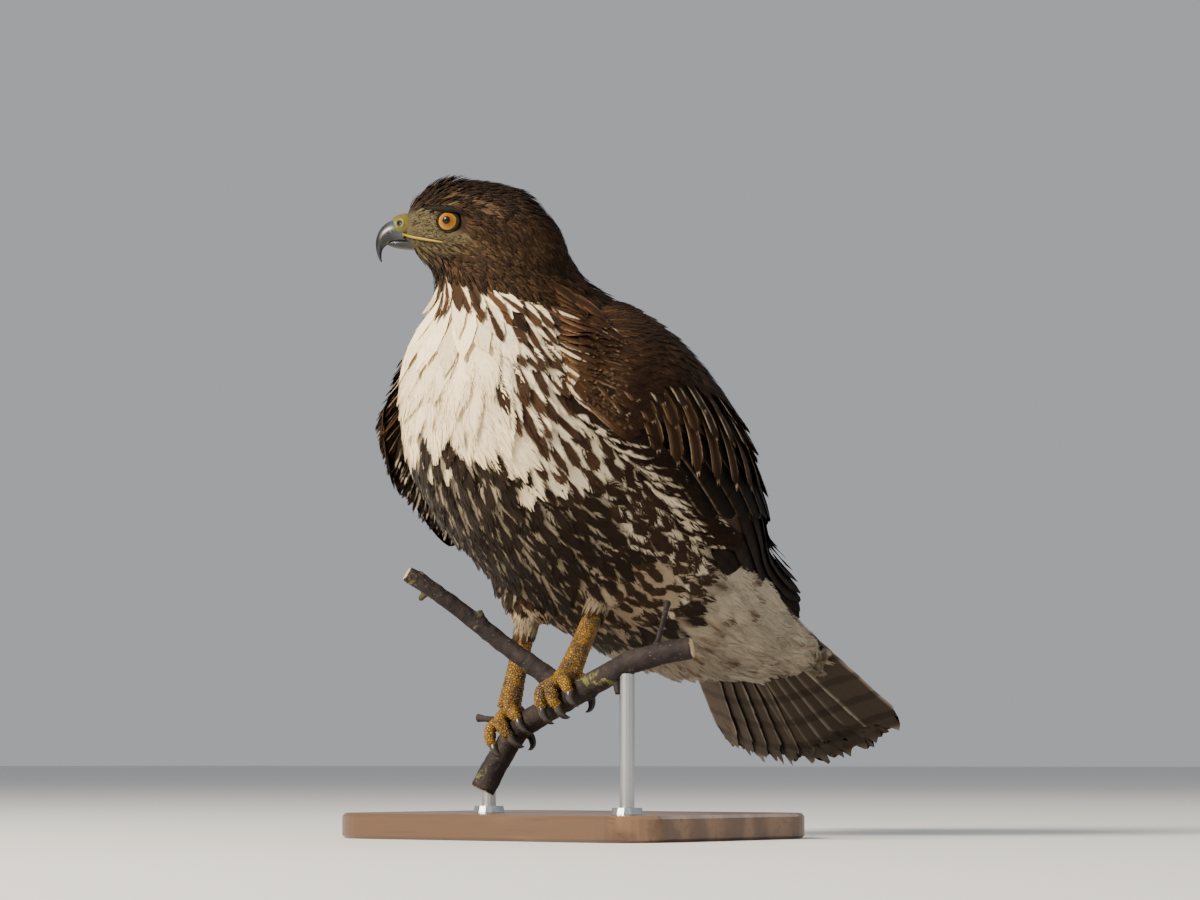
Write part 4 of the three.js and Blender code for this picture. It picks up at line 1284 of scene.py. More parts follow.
def lesser_coverts(name, side, finish, rng):
    """Small soft coverts at the front of the wing and along the back."""
    lower = WING_LOWER[name]
    places = lesser_places(rng)
    count, stations = len(places), 6
    long = step(0.45, 0.8, places[:, 1])
    length = LESSER_LENGTH[0] + LESSER_LENGTH[1] * rng.random(count) + LESSER_LENGTH[2] * long
    scale = wing_frame(lower, places[:, 0].clip(0.02, 0.98), places[:, 1])[3]
    along = np.linspace(0, 1, stations)
    u = places[:, :1] + (length / scale)[:, None] * along
    slant = 0.13 * (4 * places[:, 1:] * (1 - places[:, 1:])).clip(0, 1)
    v = places[:, 1:] + (0.05 * (rng.random((count, 1)) - 0.5) - slant) * along
    lift = -3.0 + 5.0 * along[None] ** 0.8 + 0.3 * rng.random((count, 1)) * along
    lift -= 4.0 * step(0.66, 0.95, v) + 1.2 * step(0.9, 1.0, v)
    facts = spread_facts("lesser", count, rng)
    facts[:, TINTS] *= 0.8 + 0.5 * (rng.random((count, 1)) ** 2)
    half = LESSER_HALF[0] + LESSER_HALF[1] * rng.random(count) + LESSER_HALF[2] * long
    rows = mirrored(wing_rows(lower, u, v, lift), side)
    tones = rng.random(count)
    root_uv = 0.05 + 0.85 * places.clip(0, 1)
    mesh = feather_mesh(
        f"wing_{name}_lesser_coverts", SMALL, rows, half, facts, tones, root_uv, rng, tilt=0.4 * side
    )
    dress(mesh, mesh.name, finish)


def fringe_places(rng, part):
    """Places along the wing's front rim or its lower one."""
    if part == "front":
        v = np.linspace(0.97, 0.04, FRINGE_COUNT)
        u = np.full(len(v), 0.015)
    else:
        u = np.linspace(0.02, 0.44, FRINGE_COUNT)
        v = np.full(len(u), 0.02)
    u = u + 0.016 * (rng.random(len(u)) - 0.5)
    return u, v + (0.05 * (part == "front")) * (rng.random(len(u)) - 0.5)


def fringe_row(lower, side, surface, part, off, over, rng):
    """One row of the fringe: where its feathers root on the body and end on the wing."""
    flip = np.array([side, 1.0, 1.0])
    u, v = fringe_places(rng, part)
    count = len(u)
    here, way, out, scale = wing_frame(lower, u, v)
    rise = unit(wing_sheet(lower, u, v + 0.02) - wing_sheet(lower, u, v - 0.02))
    back = unit(way - 1.5 * rise) if part == "front" else unit(0.5 * rise + 0.9 * way)
    off = off * (0.7 + 0.6 * rng.random((count, 1)))
    root, root_out = surface.near((here - back * off - out * 5) * flip)
    over = over * (0.7 + 0.7 * rng.random(count))
    if part == "front":
        end_u, end_v = u + 0.7 * over / scale, v - 0.013 * over
    else:
        end_u, end_v = u + (over + 22) / scale, v + 0.0022 * over
    end, _, end_out, _ = wing_frame(lower, end_u, end_v.clip(0.01, 0.97))
    end = (end + end_out * (1.0 + 0.04 * over)[:, None]) * flip
    return root, root_out, end if side > 0 else tucked(end), end_out * flip


def fringe_looks(part, high, rng):
    """Facts and half widths of a fringe's feathers; high is how high up the bird their ends lie."""
    count = len(high)
    if part == "front":
        facts = spread_facts("shoulder", count, rng)
        white = (rng.random(count) < FRINGE_WHITE_SHARE) & (high < FRINGE_WHITE_TOP)
        facts[white, GROUND] = FRINGE_WHITE
        facts[:, START] = -0.6
        return facts, 3.8 + 1.4 * rng.random(count)
    facts = spread_facts("flank", count, rng)
    # The lower fringe's ink is darkened by half: partly its own dark blotches, partly painted shade under the
    # wing's lower rim
    facts[:, INK] *= 0.5
    facts[:, BLOT] = np.where(rng.random(count) < 0.22, 0.72, 1.25)
    facts[:, START] = -2.0
    return facts, 6.0 + 2.4 * rng.random(count)


def wing_fringe(name, side, surface, finish, rng):
    """Breast and flank feathers that root on the body and lie over the front and lower rim of the wing."""
    lower = WING_LOWER[name]
    for part, rows in FRINGE_ROWS.items():
        made = [fringe_row(lower, side, surface, part, off, over, rng) for off, over in rows]
        root, root_out, end, end_out = (np.vstack([row[k] for row in made]) for k in range(4))
        count = len(root)
        lift = (0.8 + 1.0 * rng.random((count, 1, 1))) * (1.0 if side > 0 else 0.5)
        vanes = bridged(root + root_out, root_out, end, end_out, lift)
        facts, half = fringe_looks(part, end[:, 2], rng)
        reach, _, around = along_spine(root)
        uv = coat_place(reach, around)
        tones = rng.random(count)
        mesh = feather_mesh(f"wing_{name}_{part}_fringe", BODY, vanes, half, facts, tones, uv, rng)
        dress(mesh, mesh.name, finish)


def wing_pieces(settings):
    """Makes both wings: shell, flight feathers, coverts and the fringe that beds them in the body."""
    buff = tuple(settings.covert_edge)
    finishes = {
        "covert": feather_finish("wing coverts", buff, 60, soft=0.25, tips=5.0),
        "lesser": feather_finish("small coverts", buff, 40, soft=0.3, tips=1.0),
        "flight": feather_finish("flight feathers", buff, 200, bars=9, soft=0.3, streaks=0.2, gloss=0.06),
        "shell": plain_down("wing down", (0.045, 0.027, 0.015)),
        "fringe": feather_finish("shoulder feathers", TAN, 60),
    }
    surface = Surface(bpy.data.objects["skin"].data)
    for name, side in SIDES.items():
        rng = np.random.default_rng(SEED + int(side))
        shell = wing_shell(name, side)
        finish_piece(shell, f"wing_{name}_shell", finishes["shell"], (f"wing_{name}",))
        for tier in WING_TIERS:
            wing_tier(name, side, tier, finishes, rng)
        lesser_coverts(name, side, finishes["lesser"], rng)
        wing_fringe(name, side, surface, finishes["fringe"], rng)


def plain_down(name, colour):
    """A matt downy finish that varies softly along the lie of the feathers."""
    made = Finish(name)
    here = made.here()
    streak = made.noise(made.scaled(here, 1.0, 0.3, 0.3), 420, 4, 0.6)
    tint = made.mix(streak, tuple(0.55 * c for c in colour), tuple(1.3 * c for c in colour))
    return made.surface(tint, 0.85, made.bump(streak, 0.4, 0.0006), 0.2)


# Tail

def tail_piece(settings):
    """The twelve tail feathers, lapped like shingles from the middle outwards."""
    rng = np.random.default_rng(SEED + 30)
    count, stations = TAIL["feathers"], 12
    middle = (count - 1) / 2
    rank = np.arange(count) - middle
    share = rank / middle
    turn = TAIL["spread"] * 0.94 * share
    out = 2 - 0.72 * np.abs(rank + 0.2)
    reach = TAIL["length"] * (1 - 0.04 * share**2 - 0.04 * share)
    t = np.linspace(0, 1, stations)
    along = TAIL["root"] + (reach - TAIL["root"])[:, None] * t
    across = 6 * share[:, None] + along * np.tan(turn)[:, None]
    height = np.repeat(out[:, None], stations, axis=1)
    here = on_tail(along, across, height)
    over = unit(on_tail(along, across + 1, height) - here)
    ahead = unit(on_tail(along + 1, across + np.tan(turn)[:, None], height) - here)
    rows = (here, over, unit(np.cross(over, ahead)))
    facts = spread_facts("tail", count, rng)
    pale = tuple(settings.tail_edge)
    finish = feather_finish("tail feathers", pale, 220, bars=9, streaks=0.25, gloss=0.15)
    half = np.full(count, TAIL["half"])
    tones = rng.random(count)
    root_uv = np.stack([0.5 + 0.4 * share, np.full(count, 0.5)], axis=1)
    shape = {"camber": 0.06, "tilt": 0.9 * np.sign(rank), "thick": 0.6, "patch": 0.06}
    mesh = feather_mesh("tail_feathers", TAIL_CUT, rows, half, facts, tones, root_uv, rng, **shape)
    dress(mesh, "tail_feathers", finish, ("tail",))


# Eyes, bill and face

EYE = {"radius": 9.0, "forwards": 0.36, "cornea": 5.6, "bulge": 0.9, "map": 20.0}
LID = {"ahead": 1.6, "across": 24.6, "half_width": 6.45, "half_height": 5.3, "drop": 0.45}
# Stations of the bill in the head's frame: forward, up, droop in degrees, depth and half width
UPPER_BILL = [
    [29, -3.6, 0, 8, 7.4],
    [34.5, -3.8, 10, 7.7, 6.8],
    [39, -6, 36, 6.1, 5.3],
    [42.2, -9.8, 62, 4.1, 3.8],
    [43.8, -14.3, 84, 2.2, 2.3],
    [43.7, -18.6, 96, 1.2, 1.2],
    [42.6, -22.6, 104, 0.4, 0.4],
]
CERE = [[21, -0.5, 0, 7.5, 8.5], [27, 0.2, 0, 7.8, 9], [31, -0.6, 6, 7.8, 8.4], [34.4, -1.6, 12, 6.9, 7.2]]
LOWER_BILL = [
    [20, -12, 0, 3, 8],
    [28, -11.6, 0, 3, 6.6],
    [34, -11.2, -4, 2.5, 4.8],
    [38.4, -10.9, -8, 1.2, 2.2],
]
NOSTRIL = (31.4, 8.0, 0.8)
# Points along the yellow lip and the bony brow in the head's frame, with their radii
GAPE = [(30, 5.4, -5.6), (24, 12, -8.4), (15, 17.6, -10.8), (5, 23.4, -13.2)]
GAPE_RADII = [0.8, 0.8, 0.75, 0.35]
# The brow's dark tube reaches down to the eye's top: partly the brow's real dark edge, partly painted shade
# over the eye
BROW = [(19, 14.0, 9.4), (12, 20.6, 8.3), (4, 25.8, 7.1), (-4, 28.4, 5.7), (-12, 29.6, 1.2)]
BROW_RADII = [0.4, 1.2, 1.8, 1.3, 0.3]


def gaze(side):
    """Where an eye looks, and the two ways across it."""
    facing = unit(ACROSS * side + FORWARD * EYE["forwards"])
    flat = unit(np.cross(UP, facing))
    return facing, flat


def eye_bmesh(side):
    """An eyeball with a cornea, and a map of the face of its iris."""
    facing, flat = gaze(side)
    centre = in_head(0, side * EYE_ACROSS, 0)
    bm = bmesh.new()
    bmesh.ops.create_uvsphere(bm, u_segments=64, v_segments=48, radius=EYE["radius"])
    turned = Matrix([flat, UP, facing]).transposed()
    rotated = [np.array(turned @ vert.co) for vert in bm.verts]
    layer = bm.loops.layers.uv.new("iris")
    for face in bm.faces:
        for loop in face.loops:
            loop[layer].uv = (0.5 + loop.vert.co.x / EYE["map"], 0.5 + loop.vert.co.y / EYE["map"])
            if loop.vert.co.z < 0:
                loop[layer].uv = (0.99, 0.99)
    for vert, point in zip(bm.verts, rotated):
        x, y, z = vert.co
        r = math.hypot(x, y)
        raised = z > 0 and r < EYE["cornea"]
        bulge = EYE["bulge"] * (1 - (r / EYE["cornea"]) ** 2) ** 2 if raised else 0.0
        vert.co = centre + point + facing * bulge
    return bm


def eye_finish(settings):
    """A yellow-orange iris with fine rays, a dark pupil and a wet cover."""
    made = Finish("eye")
    u, v = made.map("iris")
    x, y = (u - 0.5) * EYE["map"], (v - 0.5) * EYE["map"]
    r = (x * x + y * y) ** 0.5
    rays = made.noise(made.point(x / r * 9.0, y / r * 9.0, r * 0.35), 1.0, 3, 0.6)
    ring = r.rise(settings.pupil, settings.iris)
    colour = made.mix(ring + (rays - 0.5) * 0.5, tuple(settings.inner), tuple(settings.outer))
    colour = made.mix(r.rise(settings.iris - 0.7, settings.iris), colour, (0.03, 0.015, 0.008))
    dark = 1.0 - r.rise(settings.pupil - 0.12, settings.pupil + 0.12)
    colour = made.mix(dark, colour, (0.002, 0.002, 0.002))
    normal = made.bump(rays, 0.15, 0.0002)
    return made.surface(colour, 0.5, normal, 0.1, {"Coat Weight": 0.3, "Coat Roughness": 0.03})


def lid_rings(side):
    """Rings round the rim of an eye's lids, heavier above."""
    facing, flat = gaze(side)
    centre = in_head(LID["ahead"], side * LID["across"], 0)
    rings = []
    turn = np.linspace(0, 2 * math.pi, 16, endpoint=False)
    for angle in np.linspace(0, 2 * math.pi, 61):
        spoke = flat * math.cos(angle) + UP * math.sin(angle)
        high = LID["half_height"] * math.sin(angle) - LID["drop"]
        middle = centre + flat * LID["half_width"] * math.cos(angle) + UP * high
        thick = 0.66 + 0.7 * max(0, math.sin(angle)) + 0.05 * math.sin(9 * angle)
        outward = np.outer(1.2 * thick * np.cos(turn), spoke)
        rings.append(middle + outward + np.outer(1.1 * thick * np.sin(turn), facing))
    return rings


def lid_finish():
    """Fine wrinkled bare skin, almost black; on the brows the black is partly painted shade of the shadow
    they cast over the eyes.
    """
    made = Finish("eyelids")
    here = made.here()
    folds = made.noise(here, 900, 4, 0.6)
    pores = made.cells(here, 1440.0)
    colour = made.mix(folds, (0.005, 0.004, 0.003), (0.018, 0.014, 0.01))
    normal = made.bump(folds + pores * 0.4, 0.5, 0.0003)
    return made.surface(colour, 0.7 + 0.2 * folds, normal, 0.12)


def bill_rings(stations, count, steps, keel=0.0):
    """Rings of a drooping bill; keel narrows its ridge."""
    rings = []
    for forward, up, droop, depth, half in smooth(stations, np.linspace(0, 1, steps + 1)):
        lean = math.radians(droop)
        rise = FORWARD * math.sin(lean) + UP * math.cos(lean)
        turn = np.linspace(0, 2 * math.pi, count, endpoint=False)
        slim = 1 - keel * np.clip(np.sin(turn), 0, 1) ** 2
        centre = in_head(forward, 0, up)
        wide = np.outer(half * slim * np.cos(turn), ACROSS)
        rings.append(centre + wide + np.outer(depth * np.sin(turn), rise))
    return rings


def head_axis(made, axis, start):
    """How far points are along one way of the head, in millimetres from its middle."""
    origin = float((HEAD_AT + FRAME_SHIFT) @ axis)
    return made.here().vector("DOT_PRODUCT", tuple(axis), out="Value") * 1000.0 - (origin + start)


def horn_finish(name, base, tip, low, high):
    """Polished horn that darkens from its base to its tip."""
    made = Finish(name)
    here = made.here()
    ahead = head_axis(made, FORWARD, 0) - head_axis(made, UP, 0) * 0.6
    grain = made.noise(here, 500, 4, 0.6)
    colour = made.mix((ahead + (grain - 0.5) * 3.0).rise(low, high), base, tip)
    colour = made.shade(colour, 0.85 + 0.3 * grain)
    normal = made.bump(grain, 0.25, 0.0002)
    coat = {"Coat Weight": 0.15, "Coat Roughness": 0.2}
    return made.surface(colour, 0.28 + 0.2 * grain, normal, more=coat)


def cere_finish():
    """Waxy yellow-green skin with a dark nostril."""
    made = Finish("cere")
    here = made.here()
    folds = made.noise(here, 700, 4, 0.6)
    ahead, high = head_axis(made, FORWARD, NOSTRIL[0]), head_axis(made, UP, NOSTRIL[2])
    near = (ahead * ahead + high * high * 0.6) ** 0.5
    blotch = made.noise(here, 260, 3, 0.6)
    colour = made.mix(folds, (0.065, 0.058, 0.007), (0.165, 0.136, 0.012))
    colour = made.mix(blotch.rise(0.45, 0.75) * 0.6, colour, (0.1, 0.095, 0.03))
    lip = head_axis(made, UP, -5.0)
    colour = made.mix(1.0 - lip.rise(-3.0, 1.0), colour, (0.27, 0.175, 0.006))
    colour = made.mix(1.0 - near.rise(1.0, 1.7), colour, (0.015, 0.012, 0.008))
    return made.surface(colour, 0.42, made.bump(folds, 0.4, 0.0003), 0.4)


def cere_bmesh():
    """The cere with its sunk nostrils and the yellow lips of the gape."""
    bm = bmesh.new()
    add_sweep(bm, bill_rings(CERE, 48, 40))
    for vert in bm.verts:
        for side in SIDES.values():
            hole = Vector(in_head(NOSTRIL[0], side * NOSTRIL[1], NOSTRIL[2]))
            near = (vert.co - hole).length
            if near < 3.4:
                sunk = 1.6 * (1 - min(near / 1.9, 1) ** 2)
                pull = sunk - 0.35 * math.exp(-(((near - 2.5) / 0.6) ** 2))
                vert.co -= Vector(ACROSS) * side * pull
    for side in SIDES.values():
        spots = [in_head(forward, side * across, up) for forward, across, up in GAPE]
        add_sweep(bm, tube_rings(spots, GAPE_RADII, 12, 20))
    return bm


def brow_rings(side):
    """Rings of the bony brow that shades an eye."""
    spots = [in_head(forward, side * across, up) for forward, across, up in BROW]
    return tube_rings(spots, BROW_RADII, 12, 24)


def face_pieces(settings):
    """Makes eyes, lids, brows, bill and cere."""
    iris = eye_finish(settings)
    lid = lid_finish()
    for name, side in SIDES.items():
        finish_piece(eye_bmesh(side), f"eye_ball_{name}", iris, (f"eye_{name}",))
        bm = bmesh.new()
        add_sweep(bm, lid_rings(side))
        # The brows take the lids' near-black finish, which is partly painted shade over the eyes
        add_sweep(bm, brow_rings(side))
        finish_piece(bm, f"lids_{name}", lid)
    bm = bmesh.new()
    add_sweep(bm, bill_rings(UPPER_BILL, 40, 60, keel=0.22))
    upper = horn_finish("upper bill", (0.04, 0.051, 0.062), (0.003, 0.003, 0.004), 33, 43)
    finish_piece(bm, "bill_upper_horn", upper, ("bill_upper",))
    bm = bmesh.new()
    add_sweep(bm, bill_rings(LOWER_BILL, 32, 30))
    lower = horn_finish("lower bill", (0.026, 0.028, 0.026), (0.004, 0.004, 0.005), 28, 38)
    finish_piece(bm, "bill_lower_horn", lower, ("bill_lower",))
    finish_piece(cere_bmesh(), "cere_skin", cere_finish(), ("cere",))


# Perch, legs and feet

# Points and radii of the limb under the feet, of the arm that forks from it, and of twigs and buds
LIMB_POINTS = [
    *([-48, 2, -54], [-43, 7, -40], [-37, 11, -28], [-26, 12, -15], [2, 2, -5]),
    *([33, -14, 3], [62, -19, 14], [82, -19, 22.5], [104, -15, 29], [124, -6, 33]),
]
LIMB_RADII = [8, 7.8, 7.6, 7.8, 7.6, 7.4, 7.1, 7, 6.9, 6.8]
ARM_POINTS = [
    *([36, -15, 3], [22, -14, 14], [10, -19, 24], [-4, -26, 35]),
    *([-18, -37, 49], [-34, -55, 67], [-48, -72, 81]),
]
ARM_RADII = [6.8, 6.5, 6, 5.6, 5.4, 5.1, 5]
TWIGS = [
    ([[-22, 10, -11], [-34, 10, -10], [-58, 9, -8]], [3.4, 2.0, 2.4]),
    ([[100, -13, 30], [100, -6, 44], [97, 5, 62]], [2.6, 1.7, 2.2]),
    ([[-13, -33, 44], [-15, -37, 52], [-16, -40, 58]], [3.4, 2.4, 1.8]),
    ([[-38, -60, 72], [-44, -60, 68], [-48, -59, 65]], [3.2, 2.4, 1.6]),
    ([[76, -19, 18], [77, -20, 11], [79, -22, 5]], [3.2, 2.4, 1.8]),
]
# Sawn ends, each with the next point inside the wood
CUT_ENDS = [LIMB_POINTS[:2], LIMB_POINTS[:-3:-1], ARM_POINTS[:-3:-1]]
PERCH_VOXEL = 0.0009
# Knots: place along the limb and turn round it
KNOTS = [(0.16, 1.0), (0.34, 4.0), (0.62, 2.4), (0.8, 5.2), (0.93, 0.4)]
LEGS = {"left": ([33, -16, 12], [33, 20, 66]), "right": ([-33, 8, -8], [-32, 28, 56])}


def limb_shape(t, turn):
    """Swellings at the knots of the limb."""
    swell = np.zeros(len(turn))
    for place, side in KNOTS:
        swell += 0.22 * math.exp(-(((t - place) / 0.018) ** 2)) * np.exp(3 * (np.cos(turn - side) - 1))
    return swell


def twig_shape(t, turn):
    """Rings of buds along a twig."""
    return 0.16 * np.cos(t * 26) * np.ones(len(turn))


def perch_mesh():
    """Limb, arm, spurs and buds grown into one skin with ridged bark."""
    bm = bmesh.new()
    add_sweep(bm, tube_rings(LIMB_POINTS, LIMB_RADII, 24, 90, limb_shape))
    add_sweep(bm, tube_rings(ARM_POINTS, ARM_RADII, 20, 60, limb_shape))
    for points, radii in TWIGS:
        add_sweep(bm, tube_rings(points, radii, 12, 14, twig_shape))
    for vert in bm.verts:
        vert.co = placed(vert.co)
    mesh = remeshed(bm, PERCH_VOXEL)
    points = relaxed(mesh, unplaced(mesh_points(mesh)), 2)
    set_points(mesh, points)
    normals = mesh_normals(mesh)
    cut = np.zeros(len(points))
    for end, inside in CUT_ENDS:
        way = unit(np.subtract(end, inside))
        rel = points - np.array(end)
        cut = np.maximum(cut, ((rel @ way > -0.9) & (np.abs(normals @ way) > 0.8)).astype(float))
    rough = np.array([noise.fractal(Vector(p) * 0.16, 0.9, 2.2, 4) for p in points])
    fine = np.array([noise.noise(Vector(p) * 0.75) for p in points])
    points = points + normals * ((0.45 * rough + 0.16 * fine) * (1 - cut))[:, None]
    set_points(mesh, points)
    values = np.column_stack([cut, rough * 0.5 + 0.5, fine * 0.5 + 0.5, np.ones(len(cut))])
    keep_colour(mesh, "bark", values)
    return mesh


def bark_finish(settings):
    """Grey-brown bark, darker in its hollows as painted shade, with pale breathing spots, yellow-green lichen
    and pale cut ends.
    """
    made = Finish("bark")
    here = made.here()
    cut, rough, _ = made.colour_of("bark").parts()
    broad = made.noise(here, 55, 4, 0.6)
    fine = made.noise(here, 600, 4, 0.7)
    colour = made.mix(broad.rise(0.3, 0.7), tuple(settings.bark_dark), tuple(settings.bark_light))
    colour = made.mix(fine.rise(0.45, 0.75) * 0.55, colour, (0.018, 0.012, 0.011))
    spots = made.cells(made.scaled(here, 1, 1, 1.6), 210)
    colour = made.mix((1.0 - spots.rise(0.1, 0.2)) * 0.8, colour, (0.085, 0.068, 0.058))
    growth = made.noise(here, 85, 5, 0.7, 0.6).rise(0.54, 0.64) * made.noise(here, 23, 2).rise(0.44, 0.6)
    crust = made.noise(here, 900, 3, 0.6)
    lichen = made.mix(crust, (0.11, 0.12, 0.025), (0.27, 0.26, 0.07))
    colour = made.mix(growth, colour, lichen)
    rings = ((made.noise(here, 180, 3)) * 26.0).sin().rise(-1, 1)
    wood = made.mix(rings, (0.42, 0.28, 0.15), (0.62, 0.46, 0.28))
    colour = made.mix(cut, colour, wood)
    height = fine * 0.6 + growth * crust * 1.4 + (1.0 - spots.rise(0.08, 0.2)) * 0.5
    # Darker in the hollows of the bark's relief and lighter on its ridges: painted shade
    colour = made.shade(colour, 0.8 + 0.3 * rough)
    return made.surface(colour, 0.62 + 0.25 * fine, made.bump(height, 0.7, 0.0007), 0.3)


def limb_near(point):
    """The limb's own frame nearest to a point: centre, way along it and its radius."""
    t = np.linspace(0, 1, 401)
    curve = smooth(LIMB_POINTS, t)
    i = int(np.argmin(np.linalg.norm(curve - np.array(point, float), axis=1)))
    along = unit(np.gradient(curve, axis=0))[i]
    return curve[i], along, float(smooth([[r] for r in LIMB_RADII], t[i])[0, 0])


# Rows of feathers over the top of a shank: how far above the knee they start and stop
BOOT_ROWS = [(-3, -17), (1, -12), (5, -8), (9, -3), (13, 2)]
BOOT_COUNT = 18
BOOT_RADIUS = 6.9
# Shank: places from the sole to the knee, which its top passes, and radii
SHANK = [(0.1, 7.6), (0.4, 6.5), (0.75, 6.2), (1.22, 6.8)]
# Palm: turns round the limb, heights over it and radii
PALM = [(-0.8, 2.6, 5.2), (0, 4.6, 7.8), (0.8, 2.6, 5.2)]
TOE_SHAPE = (1.15, 1.02, 1.08, 0.92, 1.02, 0.86, 0.74)
CLAW_RADII = [3.0, 2.6, 2.0, 1.2, 0.3]
# Toes: where each leaves the sole along the limb, fan, reach round it, thickness, way, reach of the claw
TOES = {
    "hind": (1, 4, 1.5, 4.4, -1, 1.15),
    "inner": (-4, -11, 1.75, 4.3, 1, 1.05),
    "middle": (0, -1, 2.1, 4.2, 1, 0.9),
    "outer": (4, 11, 1.8, 3.8, 1, 0.85),
}


def round_limb(limb, along, turn, height):
    """A point round the limb: along it, turned from its top to the bird's front, and over its bark."""
    centre, way, radius = limb
    up = unit(UP - way * way[2])
    front = np.cross(up, way)
    if front[1] > 0:
        front = -front
    far = radius + height
    return centre + way * along + up * (far * math.cos(turn)) + front * (far * math.sin(turn))


def scutes(count, deep):
    """Steps of overlapping scutes along a limb, count of them."""
    return lambda t, turn: deep * (0.6 - ((t * count) % 1.0)) * np.ones(len(turn))


def foot_bmesh(leg):
    """Shank, palm and toes of one foot, with scutes and pads."""
    sole, knee = (np.array(p, float) for p in LEGS[leg])
    limb = limb_near(sole)
    mirror = SIDES[leg]
    bm = bmesh.new()
    spots = [sole + (knee - sole) * t for t, _ in SHANK]
    add_sweep(bm, tube_rings(spots, [radius for _, radius in SHANK], 28, 72, scutes(17, 0.075)))
    palm = [round_limb(limb, 0, turn, height) for turn, height, _ in PALM]
    add_sweep(bm, tube_rings(palm, [radius for _, _, radius in PALM], 20, 16))
    for start, fan, reach, radius, way, _ in TOES.values():
        points = []
        for t in np.linspace(0, 1, 7):
            arch = 2.6 * math.sin(t * math.pi) + 0.5 * math.sin(t * math.pi * 5)
            along = mirror * (start + fan * math.sin(t * math.pi / 2))
            points.append(round_limb(limb, along, way * (0.1 + (reach - 0.1) * t), radius * 0.8 + arch))
        radii = [radius * share for share in TOE_SHAPE]
        add_sweep(bm, tube_rings(points, radii, 22, 64, scutes(round(reach * 7), 0.1)))
    return bm


def claw_bmesh(leg, toe):
    """One curved claw."""
    sole = np.array(LEGS[leg][0], float)
    limb = limb_near(sole)
    start, fan, reach, radius, way, claw = TOES[toe]
    points = []
    for t in (0, 0.3, 0.6, 0.82, 1):
        turn = way * (reach - 0.08 + (0.08 + claw) * t)
        height = radius * 0.8 + 3 * math.sin(t * 2.3)
        points.append(round_limb(limb, SIDES[leg] * (start + fan), turn, height))
    bm = bmesh.new()
    add_sweep(bm, tube_rings(points, CLAW_RADII, 18, 32))
    return bm


def leg_finish(settings):
    """Yellow-ochre scaled skin with dark dirt between the scales."""
    made = Finish("yellow legs")
    here = made.here()
    dirt = made.noise(here, 130, 5, 0.65)
    fine = made.noise(here, 900, 3, 0.6)
    plates = made.cells(made.scaled(here, 1, 1, 1.3), 480, "DISTANCE_TO_EDGE")
    colour = made.mix(fine, tuple(settings.skin_light), tuple(settings.skin_dark))
    colour = made.mix(dirt.rise(0.44, 0.62) * 0.85, colour, (0.055, 0.032, 0.014))
    colour = made.mix((1.0 - plates.rise(0.0, 0.12)) * 0.85, colour, (0.06, 0.036, 0.01))
    height = plates.rise(0.0, 0.22) + fine * 0.2
    return made.surface(colour, 0.34 + 0.3 * fine, made.bump(height, 1.0, 0.0008), 0.4)


def claw_finish():
    """Black polished horn, a little brown at the root."""
    made = Finish("claw horn")
    here = made.here()
    grain = made.noise(made.scaled(here, 1, 1, 0.5), 700, 4, 0.6)
    colour = made.mix(grain, (0.01, 0.009, 0.009), (0.045, 0.036, 0.03))
    return made.surface(colour, 0.22 + 0.2 * grain, made.bump(grain, 0.2, 0.0002))


def boot_mesh(leg, rng):
    """Short feathers that hang from the thigh over the top of a shank."""
    sole, knee = (np.array(p, float) for p in LEGS[leg])
    way = unit(knee - sole)
    side = unit(np.cross(way, np.array([0.0, 1.0, 0.0])))
    front = np.cross(side, way)
    roots, ends, outs = [], [], []
    for start, stop in BOOT_ROWS:
        turn = np.linspace(0, 2 * math.pi, BOOT_COUNT, endpoint=False) + start
        out = np.outer(np.cos(turn), side) + np.outer(np.sin(turn), front)
        ragged = 7.0 * (rng.random((BOOT_COUNT, 1)) - 0.5)
        roots.append(knee + way * start + out * (BOOT_RADIUS + 0.5 + 0.1 * start))
        ends.append(knee + way * (stop + ragged) + out * BOOT_RADIUS)
        outs.append(out)
    roots, ends, outs = np.vstack(roots), np.vstack(ends), np.vstack(outs)
    count = len(roots)
    rows = bridged(roots, outs, ends, outs, np.full((count, 1, 1), 0.25))
    facts = spread_facts("thigh", count, rng)
    facts[:, GROUND] *= 0.75
    facts[:, BLOT] *= 0.7 + 0.7 * rng.random(count)
    reach, _, around = along_spine(roots)
    uv = coat_place(reach, around)
    half = 2.4 + rng.random(count)
    return feather_mesh(f"boot_{leg}", NECK, rows, half, facts, rng.random(count), uv, rng)


def leg_pieces(settings):
    """Makes both feet with their claws and the feathers over their shanks."""
    skin = leg_finish(settings)
    horn = claw_finish()
    down = feather_finish("leg feathers", (0.36, 0.28, 0.19), 30, soft=0.2)
    rng = np.random.default_rng(SEED + 40)
    for leg in LEGS:
        boot = boot_mesh(leg, rng)
        dress(boot, boot.name, down)
        replaced = (f"tarsus_{leg}", f"foot_{leg}")
        finish_piece(foot_bmesh(leg), f"leg_{leg}", skin, replaced)
        for toe in TOES:
            finish_piece(claw_bmesh(leg, toe), f"talon_{leg}_{toe}", horn, (f"claw_{leg}_{toe}",))


# Stand

def wood_finish():
    """Satin varnished hardwood with long grain."""
    made = Finish("stand wood")
    here = made.here()
    drift = made.noise(made.scaled(here, 0.8, 6.0, 6.0), 5, 4, 0.6)
    rings = (here.parts()[1] * 190.0 + drift * 9.0).sin().rise(-1.0, 1.0)
    pores = made.noise(made.scaled(here, 14, 320, 320), 1.0, 3, 0.6)
    colour = made.mix(rings, (0.11, 0.056, 0.027), (0.205, 0.112, 0.056))
    colour = made.mix(pores.rise(0.55, 0.75) * 0.6, colour, (0.05, 0.026, 0.013))
    normal = made.bump(pores, 0.2, 0.0002)
    coat = {"Coat Weight": 0.35, "Coat Roughness": 0.2}
    return made.surface(colour, 0.34 + 0.18 * pores, normal, more=coat)


